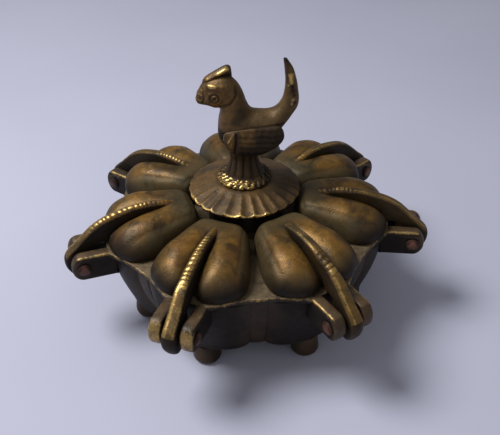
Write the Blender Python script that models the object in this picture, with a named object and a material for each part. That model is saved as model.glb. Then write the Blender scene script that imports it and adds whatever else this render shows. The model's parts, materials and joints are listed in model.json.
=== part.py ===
"""Kumkum box: a flower-shaped brass box with seven hinged petal lids and a bird knob.

Frame: metres, +Z up, origin at the centre of the tray's flat underside. The bird faces -X.
A petal is modelled once in its own frame (+X outward, +Y along its hinge, +Z up) and then
turned into each place round the flower.
"""

import math

import bmesh
import bpy
from mathutils import Matrix, Vector

# Layout of the flower
PETALS = 7
FIRST_PETAL_TURN = math.radians(-20.4)
# How far each petal strays from an even layout, as on a box laid out by hand
PETAL_DRIFT_DEGREES = (-1.0, 0.5, 1.0, -1.8, -2.5, -3.0, -0.5)
PETAL_TURN = math.tau / PETALS
HALF_TURN = PETAL_TURN / 2

# Clearances and overruns
SEAT_GAP = 0.0003
PIVOT_GAP = 0.00030
THREAD_GAP = 0.00030
CUT_OVERRUN = 0.0010
MERGE_DISTANCE = 0.000001

# Tray: wall, deck and floor
DECK_HEIGHT = 0.0234
DECK_THICKNESS = 0.0016
FLOOR_THICKNESS = 0.0020
WALL_THICKNESS = 0.0024
WALL_TOP_LOBE_RADIUS = 0.0416
LOBE_DEPTH = 0.0030
LOBE_LEAN = 0.0046
VALLEY_LEAN = 0.0058
WALL_TOP_VALLEY_RADIUS = WALL_TOP_LOBE_RADIUS - LOBE_DEPTH
WALL_BOTTOM_LOBE_RADIUS = WALL_TOP_LOBE_RADIUS - LOBE_LEAN
WALL_BOTTOM_VALLEY_RADIUS = WALL_TOP_VALLEY_RADIUS - VALLEY_LEAN
WALL_FOOT_FILLET = 0.0021
UNDERSIDE_RISE = 0.0002  # of the underside, from the ring of feet out to the wall
PILASTER_PROUD = 0.0005
GROOVE_DEPTH = 0.0005
RIM_LIP = 0.0008
RIM_VALLEY_RADIUS = WALL_TOP_VALLEY_RADIUS + RIM_LIP
WALL_LEVELS = 4
# Shares of half a petal's turn: lobe axis, lobe, groove, pilaster edge, valley
WALL_TURN_SHARES = (0.0, 0.30, 0.55, 0.75, 0.86, 0.90)
GROOVE_TURN_SHARE = 0.86

# Compartments
MOUTH_INSET = 0.0020
MOUTH_OUTER_RADIUS = WALL_TOP_LOBE_RADIUS - WALL_THICKNESS
COMPARTMENT_DRAFT = 0.0022
FLOOR_OUTER_RADIUS = WALL_BOTTOM_LOBE_RADIUS - WALL_THICKNESS
COMPARTMENT_POINTS = 9

# Petal lids
LID_INNER_RADIUS = 0.0150
LID_LAP = 0.0033
LID_OUTER_RADIUS = MOUTH_OUTER_RADIUS + LID_LAP
LID_END_LENGTH = 0.0085
LID_HALF_WIDTH = 0.0141
LID_SIDE_GAP = 0.00080
LID_CORNER = 0.0030
LID_EDGE_RISE = 0.0015
LID_CROWN_RISE = 0.0092
LID_CROWN_RADIUS = 0.0275
LID_OUTER_FALL_SHARE = 0.8
LID_WALL = 0.0015
LID_GROOVE_HALF_WIDTH = 0.0021
LID_GROOVE_SHARE = 0.32
LID_STATIONS = 10
LID_CROWN_SHARE = 0.42
LID_OUTER_SIDE_SHARES = (0.0, 0.22, 0.45, 0.70, 0.89, 1.0)
LID_INNER_SIDE_SHARES = (0.0, 0.45, 1.0)
WIDTH_BLEND = 12

# Central hub
HUB_DECK_RADIUS = 0.0110
HUB_TOP_RADIUS = 0.0088
COLLAR_LIFT = 0.0009
HUB_RISE = LID_CROWN_RISE + COLLAR_LIFT
HUB_SEGMENTS = 24

# Hinges: a slot between two ears on the tray, a rivet through them, the lid's fin between them
FIN_THICKNESS = 0.0044
FIN_SIDE_GAP = 0.0008
TAIL_RADIUS = 0.0052
TAIL_HEEL_SHARE = 1.10
TAIL_CLEARANCE = 0.00148
SLOT_WIDTH = FIN_THICKNESS + 2 * FIN_SIDE_GAP
SLOT_LIP = 0.0012
SLOT_ROOT_RADIUS = WALL_TOP_LOBE_RADIUS + SLOT_LIP
PIN_CIRCLE_RADIUS = SLOT_ROOT_RADIUS + TAIL_HEEL_SHARE * TAIL_RADIUS + TAIL_CLEARANCE
PIN_DROP = 0.0042
PIN_HEIGHT = DECK_HEIGHT - PIN_DROP
PIN_RADIUS = 0.0015
PIN_HEAD_OVERHANG = 0.0005
PIN_HEAD_RADIUS = PIN_RADIUS + PIN_HEAD_OVERHANG
PIN_HEAD_THICKNESS = 0.0007
PIN_SEGMENTS = 12
EAR_THICKNESS = 0.0031
EAR_ROOT_OVERLAP = 0.0026
EAR_ROOT_RADIUS = SLOT_ROOT_RADIUS - EAR_ROOT_OVERLAP
EAR_HALF_HEIGHT = 0.0039
EAR_NOSE = 0.0034
EAR_CHAMFER = 0.0006
EAR_ARC_STEPS = 6

# Spine, fin and tail of a lid
FIN_CHAMFER = 0.0007
SPINE_INNER_SHARE = 0.60  # of the fin's thickness, at the lid's inner end
SPINE_TAPER_SHARE = 0.75  # of the lid's length, where the spine reaches its full thickness
SPINE_PROUD = 0.0011
SPINE_RISE = LID_CROWN_RISE + SPINE_PROUD
NOTCHES = 13
NOTCH_DEPTH = 0.00045
# (share of the way from the lid's inner end to the pin, share of the spine's rise)
SPINE_TOP_SHARES = (
    (0.114, 0.74), (0.20, 0.90), (0.314, 0.98), (0.429, 1.0), (0.543, 0.97),
    (0.657, 0.885), (0.771, 0.76), (0.871, 0.575), (0.957, 0.32), (1.03, 0.085),
)
SPINE_UNDER_SHARES = ((0.763, 0.0), (0.714, 0.29), (0.629, 0.437), (0.371, 0.60), (0.143, 0.56))
NOTCH_START_SHARE = 0.15
NOTCH_END_SHARE = 0.83
FIN_PLAIN_STEPS = 5
# (degrees round the pin from straight outward, share of the tail's radius)
TAIL_SHARES = (
    (46, 0.92), (22, 0.94), (0, 0.95), (-25, 0.98), (-50, 1.06), (-66, TAIL_HEEL_SHARE),
    (-90, 1.0), (-120, 1.0), (-150, 1.0), (-180, 1.0),
)

# Feet
FOOT_HEIGHT = 0.0065
FOOT_INSET = 0.0048
FOOT_CIRCLE_RADIUS = WALL_BOTTOM_LOBE_RADIUS - FOOT_INSET
FOOT_TOP_RADIUS = 0.0034
FOOT_BOTTOM_RADIUS = 0.0042
FOOT_ROUND = 0.0013
FOOT_TENON_RADIUS = 0.0015
FOOT_SEGMENTS = 12

# Thread between the knob's stem and the hub
THREAD_PITCH = 0.0020
THREAD_TURNS = 4
THREAD_MEAN_RADIUS = 0.0026
THREAD_HALF_DEPTH = 0.00035
THREAD_SEGMENTS = 12
THREAD_STEPS_PER_TURN = 5
BORE_POCKET = 0.0015
STEM_SHANK_RADIUS = 0.0021
STEM_SOCKET_DEPTH = 0.0044
STEM_FLANGE_RADIUS = 0.0042
STEM_FLANGE_THICKNESS = 0.0012

# Fluted collar
COLLAR_RADIUS = 0.0164
COLLAR_HEIGHT = 0.0025
COLLAR_DROOP = 0.0027
COLLAR_DROOP_POWER = 1.15
COLLAR_RIM_THICKNESS = 0.0011
COLLAR_SEAT_RADIUS = 0.0098
COLLAR_FLUTES = 26
FLUTE_DEPTH = 0.00030
FLUTE_RINGS = 2

# Knob: tier, post and bird
TIER_RADIUS = 0.0080
TIER_THICKNESS = 0.0010
TIER_CROWN = 0.0008
TIER_NOTCHES = 20
TIER_NOTCH_DEPTH = 0.00045
POST_BOTTOM_RADIUS = 0.0054
POST_WAIST_RADIUS = 0.0038
POST_HEIGHT = 0.0072
POST_FLUTE_DEPTH = 0.00035
# (share of the post's height, share of the way from its waist radius to its bottom radius)
POST_SHARES = ((0.0, 1.0), (0.25, 0.5), (0.6, 0.0), (1.0, 0.0), (1.3, 0.5))
BIRD_LENGTH = 0.0280
BIRD_HEIGHT = 0.0290
BIRD_HALF_WIDTH = 0.0052
BIRD_SECTION_POINTS = 12
WING_HALF_THICKNESS = 0.0014
CREST_THICKNESS = 0.0024
# Cross-sections from beak to tail tip: the back's point, the belly's point (shares of the bird's
# length from its middle, and of its height from the belly), and a share of the half width
BIRD_SECTION_SHARES = (
    ((-0.458, 0.575), (-0.458, 0.560), 0.06),
    ((-0.425, 0.640), (-0.418, 0.545), 0.24),
    ((-0.375, 0.715), (-0.345, 0.520), 0.52),
    ((-0.270, 0.780), (-0.275, 0.505), 0.70),
    ((-0.130, 0.745), (-0.250, 0.470), 0.68),
    ((-0.060, 0.640), (-0.253, 0.385), 0.66),
    ((-0.005, 0.545), (-0.262, 0.270), 0.80),
    ((0.040, 0.450), (-0.235, 0.110), 0.94),
    ((0.110, 0.425), (-0.095, 0.015), 1.0),
    ((0.190, 0.425), (0.110, 0.010), 0.98),
    ((0.265, 0.440), (0.270, 0.090), 0.84),
    ((0.325, 0.480), (0.375, 0.235), 0.62),
    ((0.378, 0.545), (0.478, 0.375), 0.50),
    ((0.402, 0.640), (0.543, 0.500), 0.44),
    ((0.412, 0.755), (0.532, 0.680), 0.36),
    ((0.400, 0.860), (0.482, 0.835), 0.26),
    ((0.392, 0.945), (0.412, 0.943), 0.10),
)
CREST_SHARES = (
    (-0.368, 0.700), (-0.360, 0.755), (-0.278, 0.835), (-0.191, 0.885), (-0.134, 0.879),
    (-0.103, 0.800), (-0.110, 0.700), (-0.200, 0.660),
)
WING_SHARES = (
    (-0.205, 0.190), (-0.187, 0.274), (-0.111, 0.303), (0.010, 0.324), (0.182, 0.335),
    (0.357, 0.341), (0.402, 0.221), (0.360, 0.138), (0.261, 0.067), (0.138, 0.020),
    (-0.040, 0.015), (-0.158, 0.086),
)
WING_STANDOFF_SHARE = 0.84


def clear_scene():
    """Removes whatever the file holds."""
    for item in list(bpy.data.objects):
        bpy.data.objects.remove(item, do_unlink=True)


def material(name, colour, roughness, metallic):
    """A Principled material of one colour."""
    finish = bpy.data.materials.new(name)
    finish.use_nodes = True
    shader = finish.node_tree.nodes["Principled BSDF"]
    shader.inputs["Base Color"].default_value = (*colour, 1.0)
    shader.inputs["Roughness"].default_value = roughness
    shader.inputs["Metallic"].default_value = metallic
    finish.diffuse_color = (*colour, 1.0)
    return finish


def closed_mesh(name, vertices, faces):
    """A mesh with its doubles merged and its faces turned outwards."""
    shape = bmesh.new()
    corners = [shape.verts.new(vertex) for vertex in vertices]
    for face in faces:
        shape.faces.new([corners[index] for index in face])
    bmesh.ops.remove_doubles(shape, verts=shape.verts, dist=MERGE_DISTANCE)
    bmesh.ops.recalc_face_normals(shape, faces=shape.faces)
    mesh = bpy.data.meshes.new(name)
    shape.to_mesh(mesh)
    shape.free()
    return mesh


def loft(name, rings, ends_filled=True):
    """Joins rings of as many points each into one skin, with its two ends filled or joined."""
    count = len(rings[0])
    vertices = [point for ring in rings for point in ring]
    faces = []
    spans = len(rings) - 1 if ends_filled else len(rings)
    for level in range(spans):
        low = level * count
        high = (level + 1) % len(rings) * count
        for index in range(count):
            after = (index + 1) % count
            faces.append((low + index, low + after, high + after, high + index))
    if ends_filled:
        last = (len(rings) - 1) * count
        faces.append(tuple(range(count)))
        faces.append(tuple(range(last, last + count)))
    return closed_mesh(name, vertices, faces)


def turned(name, profile, segments, reach=None, ends_filled=True):
    """Turns a profile of (radius, height) points about Z; reach(radius, height, turn, index)
    may move each point and gives its new radius and height."""
    rings = []
    for radius, height in profile:
        ring = []
        for index in range(segments):
            turn = math.tau * index / segments
            out, up = (radius, height) if reach is None else reach(radius, height, turn, index)
            ring.append((out * math.cos(turn), out * math.sin(turn), up))
        rings.append(ring)
    return loft(name, rings, ends_filled)


def plate(name, outline, half_thickness, chamfer, bevel_back=True):
    """An outline of (x, z) points as a plate across Y, its edges chamfered."""
    slim = inset_outline(outline, chamfer)
    rings = [[(x, half_thickness, z) for x, z in slim]]
    rings.append([(x, half_thickness - chamfer, z) for x, z in outline])
    if bevel_back:
        rings.append([(x, chamfer - half_thickness, z) for x, z in outline])
        rings.append([(x, -half_thickness, z) for x, z in slim])
    else:
        rings.append([(x, -half_thickness, z) for x, z in outline])
    return loft(name, rings)


def inset_outline(outline, distance):
    """Moves each corner of a closed outline inwards, along the mean of its two edges' normals."""
    area = 0.0
    for index, (x, z) in enumerate(outline):
        after_x, after_z = outline[(index + 1) % len(outline)]
        area += x * after_z - after_x * z
    side = 1.0 if area > 0 else -1.0
    moved = []
    for index, (x, z) in enumerate(outline):
        before = Vector(outline[index - 1])
        after = Vector(outline[(index + 1) % len(outline)])
        along = (after - before).normalized()
        moved.append((x - side * along.y * distance, z + side * along.x * distance))
    return moved


def smooth_points(points, count):
    """Reads count points at even steps from a smooth curve through the given ones."""
    vectors = [Vector(point) for point in points]
    vectors = [2 * vectors[0] - vectors[1]] + vectors + [2 * vectors[-1] - vectors[-2]]
    spans = len(points) - 1
    result = []
    for step in range(count):
        place = step * spans / (count - 1)
        span = min(int(place), spans - 1)
        share = place - span
        a, b, c, d = vectors[span:span + 4]
        bend = (2 * a - 5 * b + 4 * c - d) * share ** 2 + (3 * b - a - 3 * c + d) * share ** 3
        result.append((2 * b + (c - a) * share + bend) / 2)
    return result


def combined(name, base, additions=(), cuts=()):
    """Unites meshes with a base mesh and cuts others out of it, with Boolean modifiers."""
    target = bpy.data.objects.new(name, base)
    bpy.context.collection.objects.link(target)
    helpers = []
    for operation, meshes in (("UNION", additions), ("DIFFERENCE", cuts)):
        for mesh in meshes:
            helper = bpy.data.objects.new(mesh.name, mesh)
            bpy.context.collection.objects.link(helper)
            helpers.append(helper)
            modifier = target.modifiers.new(mesh.name, "BOOLEAN")
            modifier.operation = operation
            modifier.object = helper
    graph = bpy.context.evaluated_depsgraph_get()
    result = bpy.data.meshes.new_from_object(target.evaluated_get(graph))
    result.name = name
    for helper in helpers + [target]:
        bpy.data.objects.remove(helper, do_unlink=True)
    return result


def moved_copies(name, mesh, matrices):
    """One mesh that holds a copy of the given mesh at each matrix."""
    shape = bmesh.new()
    for matrix in matrices:
        copy = mesh.copy()
        copy.transform(matrix)
        shape.from_mesh(copy)
        bpy.data.meshes.remove(copy)
    result = bpy.data.meshes.new(name)
    shape.to_mesh(result)
    shape.free()
    return result


def petal_heading(number):
    """The turn from the front (-Y) of petal 1, 2 and so on, anticlockwise from above."""
    drift = PETAL_DRIFT_DEGREES[(number - 1) % len(PETAL_DRIFT_DEGREES)]
    return FIRST_PETAL_TURN + (number - 1) * PETAL_TURN + math.radians(drift)


def petal_matrix(number):
    """Turns a petal's own frame into its place in the flower."""
    return Matrix.Rotation(petal_heading(number) - math.pi / 2, 4, "Z")


def all_petals():
    return [petal_matrix(number) for number in range(1, PETALS + 1)]


def add_piece(name, mesh, finish, matrix=None, sharp_degrees=40):
    """Links a finished piece with its material, smooth apart from its sharp edges."""
    if not mesh.materials:
        mesh.materials.append(finish)
        mesh.shade_smooth()
        mesh.set_sharp_from_angle(angle=math.radians(sharp_degrees))
    piece = bpy.data.objects.new(name, mesh)
    bpy.context.collection.objects.link(piece)
    if matrix is not None:
        piece.matrix_world = matrix
    return piece


# Heights that several pieces share
LID_BASE_HEIGHT = DECK_HEIGHT + SEAT_GAP
HUB_TOP_HEIGHT = DECK_HEIGHT + HUB_RISE
COLLAR_SEAT_HEIGHT = HUB_TOP_HEIGHT + SEAT_GAP
TIER_SEAT_HEIGHT = COLLAR_SEAT_HEIGHT + COLLAR_HEIGHT + SEAT_GAP
POST_FOOT_HEIGHT = TIER_SEAT_HEIGHT + TIER_THICKNESS + TIER_CROWN
BELLY_HEIGHT = POST_FOOT_HEIGHT + POST_HEIGHT
FLANGE_TOP_HEIGHT = COLLAR_SEAT_HEIGHT - SEAT_GAP
FLANGE_BOTTOM_HEIGHT = FLANGE_TOP_HEIGHT - STEM_FLANGE_THICKNESS
THREAD_TOP_HEIGHT = FLANGE_BOTTOM_HEIGHT - SEAT_GAP
THREAD_BOTTOM_HEIGHT = THREAD_TOP_HEIGHT - THREAD_TURNS * THREAD_PITCH


def petal_half_width(radius, inset, outer):
    """Half the petal's width at a radius: between its straight sides and its broadest width,
    closed by a quarter ellipse at the outer end and a small round at the inner one."""
    inner = LID_INNER_RADIUS + inset
    straight = radius * math.tan(HALF_TURN) - (LID_SIDE_GAP + inset) / math.cos(HALF_TURN)
    broad = LID_HALF_WIDTH - inset
    width = (straight ** -WIDTH_BLEND + broad ** -WIDTH_BLEND) ** (-1 / WIDTH_BLEND)
    if radius > outer - LID_END_LENGTH:
        reach = min(1.0, 1 - (outer - radius) / LID_END_LENGTH)
        width *= math.sqrt(1 - reach ** 2)
    if radius < inner + LID_CORNER:
        reach = min(1.0, (inner + LID_CORNER - radius) / LID_CORNER)
        width *= (1 - reach ** 3) ** (1 / 3)
    return width


def petal_radii(inset, outer, stations):
    """Radii along a petal, closer together towards both ends."""
    inner = LID_INNER_RADIUS + inset
    waves = [(1 - math.cos(math.pi * index / stations)) / 2 for index in range(stations + 1)]
    return [inner + (outer - inner) * wave for wave in waves]


def petal_outline(inset, outer, stations):
    """The petal's outline in plan, as (radius, across) points all round."""
    radii = petal_radii(inset, outer, stations)
    near = [(radius, petal_half_width(radius, inset, outer)) for radius in radii]
    return near + [(radius, -width) for radius, width in reversed(near[1:-1])]


def crown_rise(radius, inset):
    """Height of the bulges' crowns over the lid's base: an even fall outwards, a blunt one inwards."""
    inner = LID_INNER_RADIUS + inset
    outer = LID_OUTER_RADIUS - inset
    if radius > LID_CROWN_RADIUS:
        reach = min(1.0, (radius - LID_CROWN_RADIUS) / (outer - LID_CROWN_RADIUS))
        fall = (1 - reach ** 2) ** LID_OUTER_FALL_SHARE
    else:
        reach = min(1.0, (LID_CROWN_RADIUS - radius) / (LID_CROWN_RADIUS - inner))
        fall = math.sqrt(1 - reach ** 4)
    return (LID_CROWN_RISE - inset - LID_EDGE_RISE) * fall


def lid_skin(inset, side_shares):
    """Rows of points over a lid: each row crosses it from one side to the other. On each side of
    the groove a bulge rises to its crown and falls as a quarter ellipse to the lid's edge."""
    outer = LID_OUTER_RADIUS - inset
    rows = []
    for radius in petal_radii(inset, outer, LID_STATIONS):
        width = petal_half_width(radius, inset, outer)
        groove = min(width, LID_GROOVE_HALF_WIDTH)
        rise = crown_rise(radius, inset)
        half_row = [(0.0, 1 - LID_GROOVE_SHARE)]
        for share in side_shares:
            if share < LID_CROWN_SHARE:
                level = 1 - LID_GROOVE_SHARE * (1 - share / LID_CROWN_SHARE) ** 2
            else:
                level = math.sqrt(1 - ((share - LID_CROWN_SHARE) / (1 - LID_CROWN_SHARE)) ** 2)
            half_row.append((groove + (width - groove) * share, level))
        row = [(-across, level) for across, level in reversed(half_row[1:])] + half_row
        rows.append([
            (radius, across, LID_BASE_HEIGHT + LID_EDGE_RISE + rise * level)
            for across, level in row
        ])
    return rows


def skin_border(rows):
    """The border of a lid's skin, all round, in the order of petal_outline."""
    near = [row[-1] for row in rows]
    return near + [row[0] for row in reversed(rows[1:-1])]


def lid_shell():
    """A lid's hollow shell: outer skin, edge, flat rim and inner skin, as one closed mesh."""
    vertices = []
    faces = []

    def add_grid(rows):
        start = len(vertices)
        across = len(rows[0])
        for row in rows:
            vertices.extend(row)
        for line in range(len(rows) - 1):
            for index in range(across - 1):
                corner = start + line * across + index
                faces.append((corner, corner + 1, corner + across + 1, corner + across))

    def add_band(first, second):
        start = len(vertices)
        count = len(first)
        vertices.extend(first)
        vertices.extend(second)
        for index in range(count):
            after = (index + 1) % count
            faces.append((start + index, start + after, start + count + after, start + count + index))

    outer_rows = lid_skin(0.0, LID_OUTER_SIDE_SHARES)
    inner_rows = lid_skin(LID_WALL, LID_INNER_SIDE_SHARES)
    outer_border = skin_border(outer_rows)
    inner_border = skin_border(inner_rows)
    outer_foot = [(x, y, LID_BASE_HEIGHT) for x, y, z in outer_border]
    inner_foot = [(x, y, LID_BASE_HEIGHT) for x, y, z in inner_border]
    add_grid(outer_rows)
    add_band(outer_border, outer_foot)
    add_band(outer_foot, inner_foot)
    add_band(inner_foot, inner_border)
    add_grid(inner_rows)
    return closed_mesh("lid_shell", vertices, faces)


def fin_outline():
    """The spine, fin and tail seen from the side, as (radius, height) points."""
    length = PIN_CIRCLE_RADIUS - LID_INNER_RADIUS

    def placed(along, up):
        return (LID_INNER_RADIUS + along * length, LID_BASE_HEIGHT + up * SPINE_RISE)

    fine = smooth_points(SPINE_TOP_SHARES, 8 * len(SPINE_TOP_SHARES))

    def top_share(along):
        for before, after in zip(fine, fine[1:]):
            if before.x <= along <= after.x:
                return before.y + (after.y - before.y) * (along - before.x) / (after.x - before.x)
        return fine[-1].y

    outline = [placed(*SPINE_TOP_SHARES[0])]
    steps = 2 * NOTCHES
    for step in range(steps + 1):
        along = NOTCH_START_SHARE + (NOTCH_END_SHARE - NOTCH_START_SHARE) * step / steps
        radius, height = placed(along, top_share(along))
        outline.append((radius, height - NOTCH_DEPTH * (step % 2)))
    plain_end = SPINE_TOP_SHARES[-1][0]
    for step in range(1, FIN_PLAIN_STEPS + 1):
        along = NOTCH_END_SHARE + (plain_end - NOTCH_END_SHARE) * step / FIN_PLAIN_STEPS
        outline.append(placed(along, top_share(along)))
    for degrees, share in TAIL_SHARES:
        turn = math.radians(degrees)
        outline.append((
            PIN_CIRCLE_RADIUS + share * TAIL_RADIUS * math.cos(turn),
            PIN_HEIGHT + share * TAIL_RADIUS * math.sin(turn),
        ))
    outline.append((PIN_CIRCLE_RADIUS - TAIL_RADIUS, LID_BASE_HEIGHT))
    outline.extend(placed(along, up) for along, up in SPINE_UNDER_SHARES)
    return outline


def pin_cylinder(name, radius, half_length):
    """A plain cylinder on the hinge axis of a petal in its own frame."""
    profile = [(radius, -half_length), (radius, half_length)]
    mesh = turned(name, profile, PIN_SEGMENTS)
    mesh.transform(Matrix.Rotation(math.pi / 2, 4, "X"))
    mesh.transform(Matrix.Translation((PIN_CIRCLE_RADIUS, 0, PIN_HEIGHT)))
    return mesh


def petal_lid_mesh():
    """The whole lid, moved so that its origin lies on its hinge axis."""
    fin = plate("fin", fin_outline(), FIN_THICKNESS / 2, FIN_CHAMFER)
    taper_length = SPINE_TAPER_SHARE * (LID_OUTER_RADIUS - LID_INNER_RADIUS)
    for vertex in fin.vertices:
        reach = min(1.0, (vertex.co.x - LID_INNER_RADIUS) / taper_length)
        vertex.co.y *= SPINE_INNER_SHARE + (1 - SPINE_INNER_SHARE) * reach
    bore = pin_cylinder("lid_bore", PIN_RADIUS + PIVOT_GAP, FIN_THICKNESS)
    lid = combined("petal_lid", lid_shell(), additions=[fin], cuts=[bore])
    lid.transform(Matrix.Translation((-PIN_CIRCLE_RADIUS, 0, -PIN_HEIGHT)))
    return lid


def rim_radius(share, half_turn):
    """The deck's rim: flat across the slot, then a straight line to the valley between petals."""
    turn = share * half_turn
    ear_reach = SLOT_WIDTH / 2 + EAR_THICKNESS
    corner = Vector((SLOT_ROOT_RADIUS, ear_reach))
    valley = Vector((math.cos(half_turn), math.sin(half_turn))) * RIM_VALLEY_RADIUS
    heading = Vector((math.cos(turn), math.sin(turn)))
    if turn <= math.atan2(corner.y, corner.x):
        return SLOT_ROOT_RADIUS / heading.x
    edge = valley - corner
    return (corner.x * edge.y - corner.y * edge.x) / (heading.x * edge.y - heading.y * edge.x)


def wall_radius(share, lobe, valley):
    """The wall's lobes, with a groove and a flat pilaster in each valley."""
    if share > GROOVE_TURN_SHARE:
        return valley + PILASTER_PROUD
    arch = math.sqrt(1 - (share / GROOVE_TURN_SHARE) ** 2)
    return valley - GROOVE_DEPTH + (lobe - valley + GROOVE_DEPTH) * arch


def tray_ring(height, radius_at):
    """One ring round the tray at a height. Each petal reaches half way to its neighbours, and
    radius_at(share, half_turn) gives the shape of half a petal."""
    shares = [-1.0] + [-share for share in reversed(WALL_TURN_SHARES[1:])] + list(WALL_TURN_SHARES)
    ring = []
    for number in range(1, PETALS + 1):
        matrix = petal_matrix(number)
        before = (petal_heading(number) - petal_heading(number - 1)) % math.tau / 2
        after = (petal_heading(number + 1) - petal_heading(number)) % math.tau / 2
        for share in shares:
            half_turn = before if share < 0 else after
            turn = share * half_turn
            radius = radius_at(abs(share), half_turn)
            point = Vector((radius * math.cos(turn), radius * math.sin(turn), height))
            ring.append(tuple(matrix @ point))
    return ring


def tray_block():
    """The tray before it is hollowed: an underside that is flat inside the ring of feet, rounded
    foot, leaning lobed wall and projecting deck."""
    def wall_at(level, drawn_in=0.0):
        swell = math.sin(level * math.pi / 2)
        lobe = WALL_BOTTOM_LOBE_RADIUS + (WALL_TOP_LOBE_RADIUS - WALL_BOTTOM_LOBE_RADIUS) * swell
        valley = WALL_BOTTOM_VALLEY_RADIUS
        valley += (WALL_TOP_VALLEY_RADIUS - WALL_BOTTOM_VALLEY_RADIUS) * swell
        return lambda share, half_turn: wall_radius(share, lobe, valley) - drawn_in

    under_deck = DECK_HEIGHT - DECK_THICKNESS
    feet_inner_radius = FOOT_CIRCLE_RADIUS - 2 * FOOT_BOTTOM_RADIUS
    rings = [
        tray_ring(0.0, lambda share, half_turn: feet_inner_radius),
        tray_ring(UNDERSIDE_RISE, wall_at(0.0, WALL_FOOT_FILLET)),
    ]
    for step in range(WALL_LEVELS):
        level = step / (WALL_LEVELS - 1)
        height = WALL_FOOT_FILLET + level * (under_deck - WALL_FOOT_FILLET)
        rings.append(tray_ring(height, wall_at(level)))
    for height in (under_deck, DECK_HEIGHT):
        rings.append(tray_ring(height, rim_radius))
    return loft("tray_block", rings)


def compartment_cutter():
    """One compartment with drafted sides, from its mouth down to the floor."""
    def ring(height, inset, outer):
        outline = petal_outline(inset, outer, COMPARTMENT_POINTS)
        return [(radius, across, height) for radius, across in outline]

    return loft("compartment", [
        ring(DECK_HEIGHT + CUT_OVERRUN, MOUTH_INSET, MOUTH_OUTER_RADIUS),
        ring(DECK_HEIGHT, MOUTH_INSET, MOUTH_OUTER_RADIUS),
        ring(FLOOR_THICKNESS, MOUTH_INSET + COMPARTMENT_DRAFT, FLOOR_OUTER_RADIUS),
    ])


def ear_mesh(side):
    """One hinge ear; side is 1 or -1. Its outer edges are chamfered."""
    outline = [(EAR_ROOT_RADIUS, DECK_HEIGHT), (PIN_CIRCLE_RADIUS, DECK_HEIGHT)]
    top_half = DECK_HEIGHT - PIN_HEIGHT
    for step in range(1, EAR_ARC_STEPS):
        turn = math.pi / 2 - math.pi * step / EAR_ARC_STEPS
        half = top_half if turn > 0 else EAR_HALF_HEIGHT
        outline.append((
            PIN_CIRCLE_RADIUS + EAR_NOSE * math.cos(turn),
            PIN_HEIGHT + half * math.sin(turn),
        ))
    outline.append((PIN_CIRCLE_RADIUS, PIN_HEIGHT - EAR_HALF_HEIGHT))
    outline.append((EAR_ROOT_RADIUS, PIN_HEIGHT - EAR_HALF_HEIGHT))
    ear = plate("ear", outline, EAR_THICKNESS / 2, EAR_CHAMFER, bevel_back=False)
    if side < 0:
        ear.transform(Matrix.Scale(-1, 4, Vector((0, 1, 0))))
        ear.flip_normals()
    ear.transform(Matrix.Translation((0, side * (SLOT_WIDTH + EAR_THICKNESS) / 2, 0)))
    return ear


def thread_profile(gap, side):
    """A thread's rings: mean radius, height, and the share of its full depth. At both ends the
    thread fades away from its partner: inwards on the stem (side -1), outwards in the hub (1)."""
    steps = THREAD_TURNS * THREAD_STEPS_PER_TURN
    profile = []
    for step in range(steps + 1):
        height = THREAD_BOTTOM_HEIGHT + (THREAD_TOP_HEIGHT - THREAD_BOTTOM_HEIGHT) * step / steps
        depth_share = min(1.0, step / 2, (steps - step) / 2)
        radius = THREAD_MEAN_RADIUS + gap + side * (1 - depth_share) * THREAD_HALF_DEPTH
        profile.append((radius, height, depth_share))
    return profile


def threaded_mesh(name, below, thread, above):
    """A turned solid whose middle stretch is a right-handed thread of rounded form."""
    depth_shares = {height: depth_share for radius, height, depth_share in thread}
    profile = below + [(radius, height) for radius, height, depth_share in thread] + above

    def reach(radius, height, turn, index):
        wave = math.cos(turn - math.tau * height / THREAD_PITCH)
        return radius + depth_shares.get(height, 0.0) * THREAD_HALF_DEPTH * wave, height

    return turned(name, profile, THREAD_SEGMENTS, reach)


def hub_mesh():
    """The hub's stub above the deck; the partitions carry it below."""
    profile = [
        (HUB_DECK_RADIUS, DECK_HEIGHT - DECK_THICKNESS),
        (HUB_DECK_RADIUS, DECK_HEIGHT),
        (HUB_TOP_RADIUS, HUB_TOP_HEIGHT),
    ]
    return turned("hub", profile, HUB_SEGMENTS)


def hub_bore_mesh():
    """The hub's threaded bore, with a recess for the stem's flange and a plain pocket below."""
    flange_recess = STEM_FLANGE_RADIUS + PIVOT_GAP
    thread = thread_profile(THREAD_GAP, 1)
    plain = THREAD_MEAN_RADIUS + THREAD_GAP + THREAD_HALF_DEPTH
    below = [
        (plain, THREAD_BOTTOM_HEIGHT - BORE_POCKET),
        (plain, THREAD_BOTTOM_HEIGHT - BORE_POCKET / 2),
    ]
    recess_bottom = FLANGE_BOTTOM_HEIGHT - SEAT_GAP / 2
    above = [
        (flange_recess, recess_bottom),
        (flange_recess, HUB_TOP_HEIGHT + CUT_OVERRUN),
    ]
    return threaded_mesh("hub_bore", below, thread, above)


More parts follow.
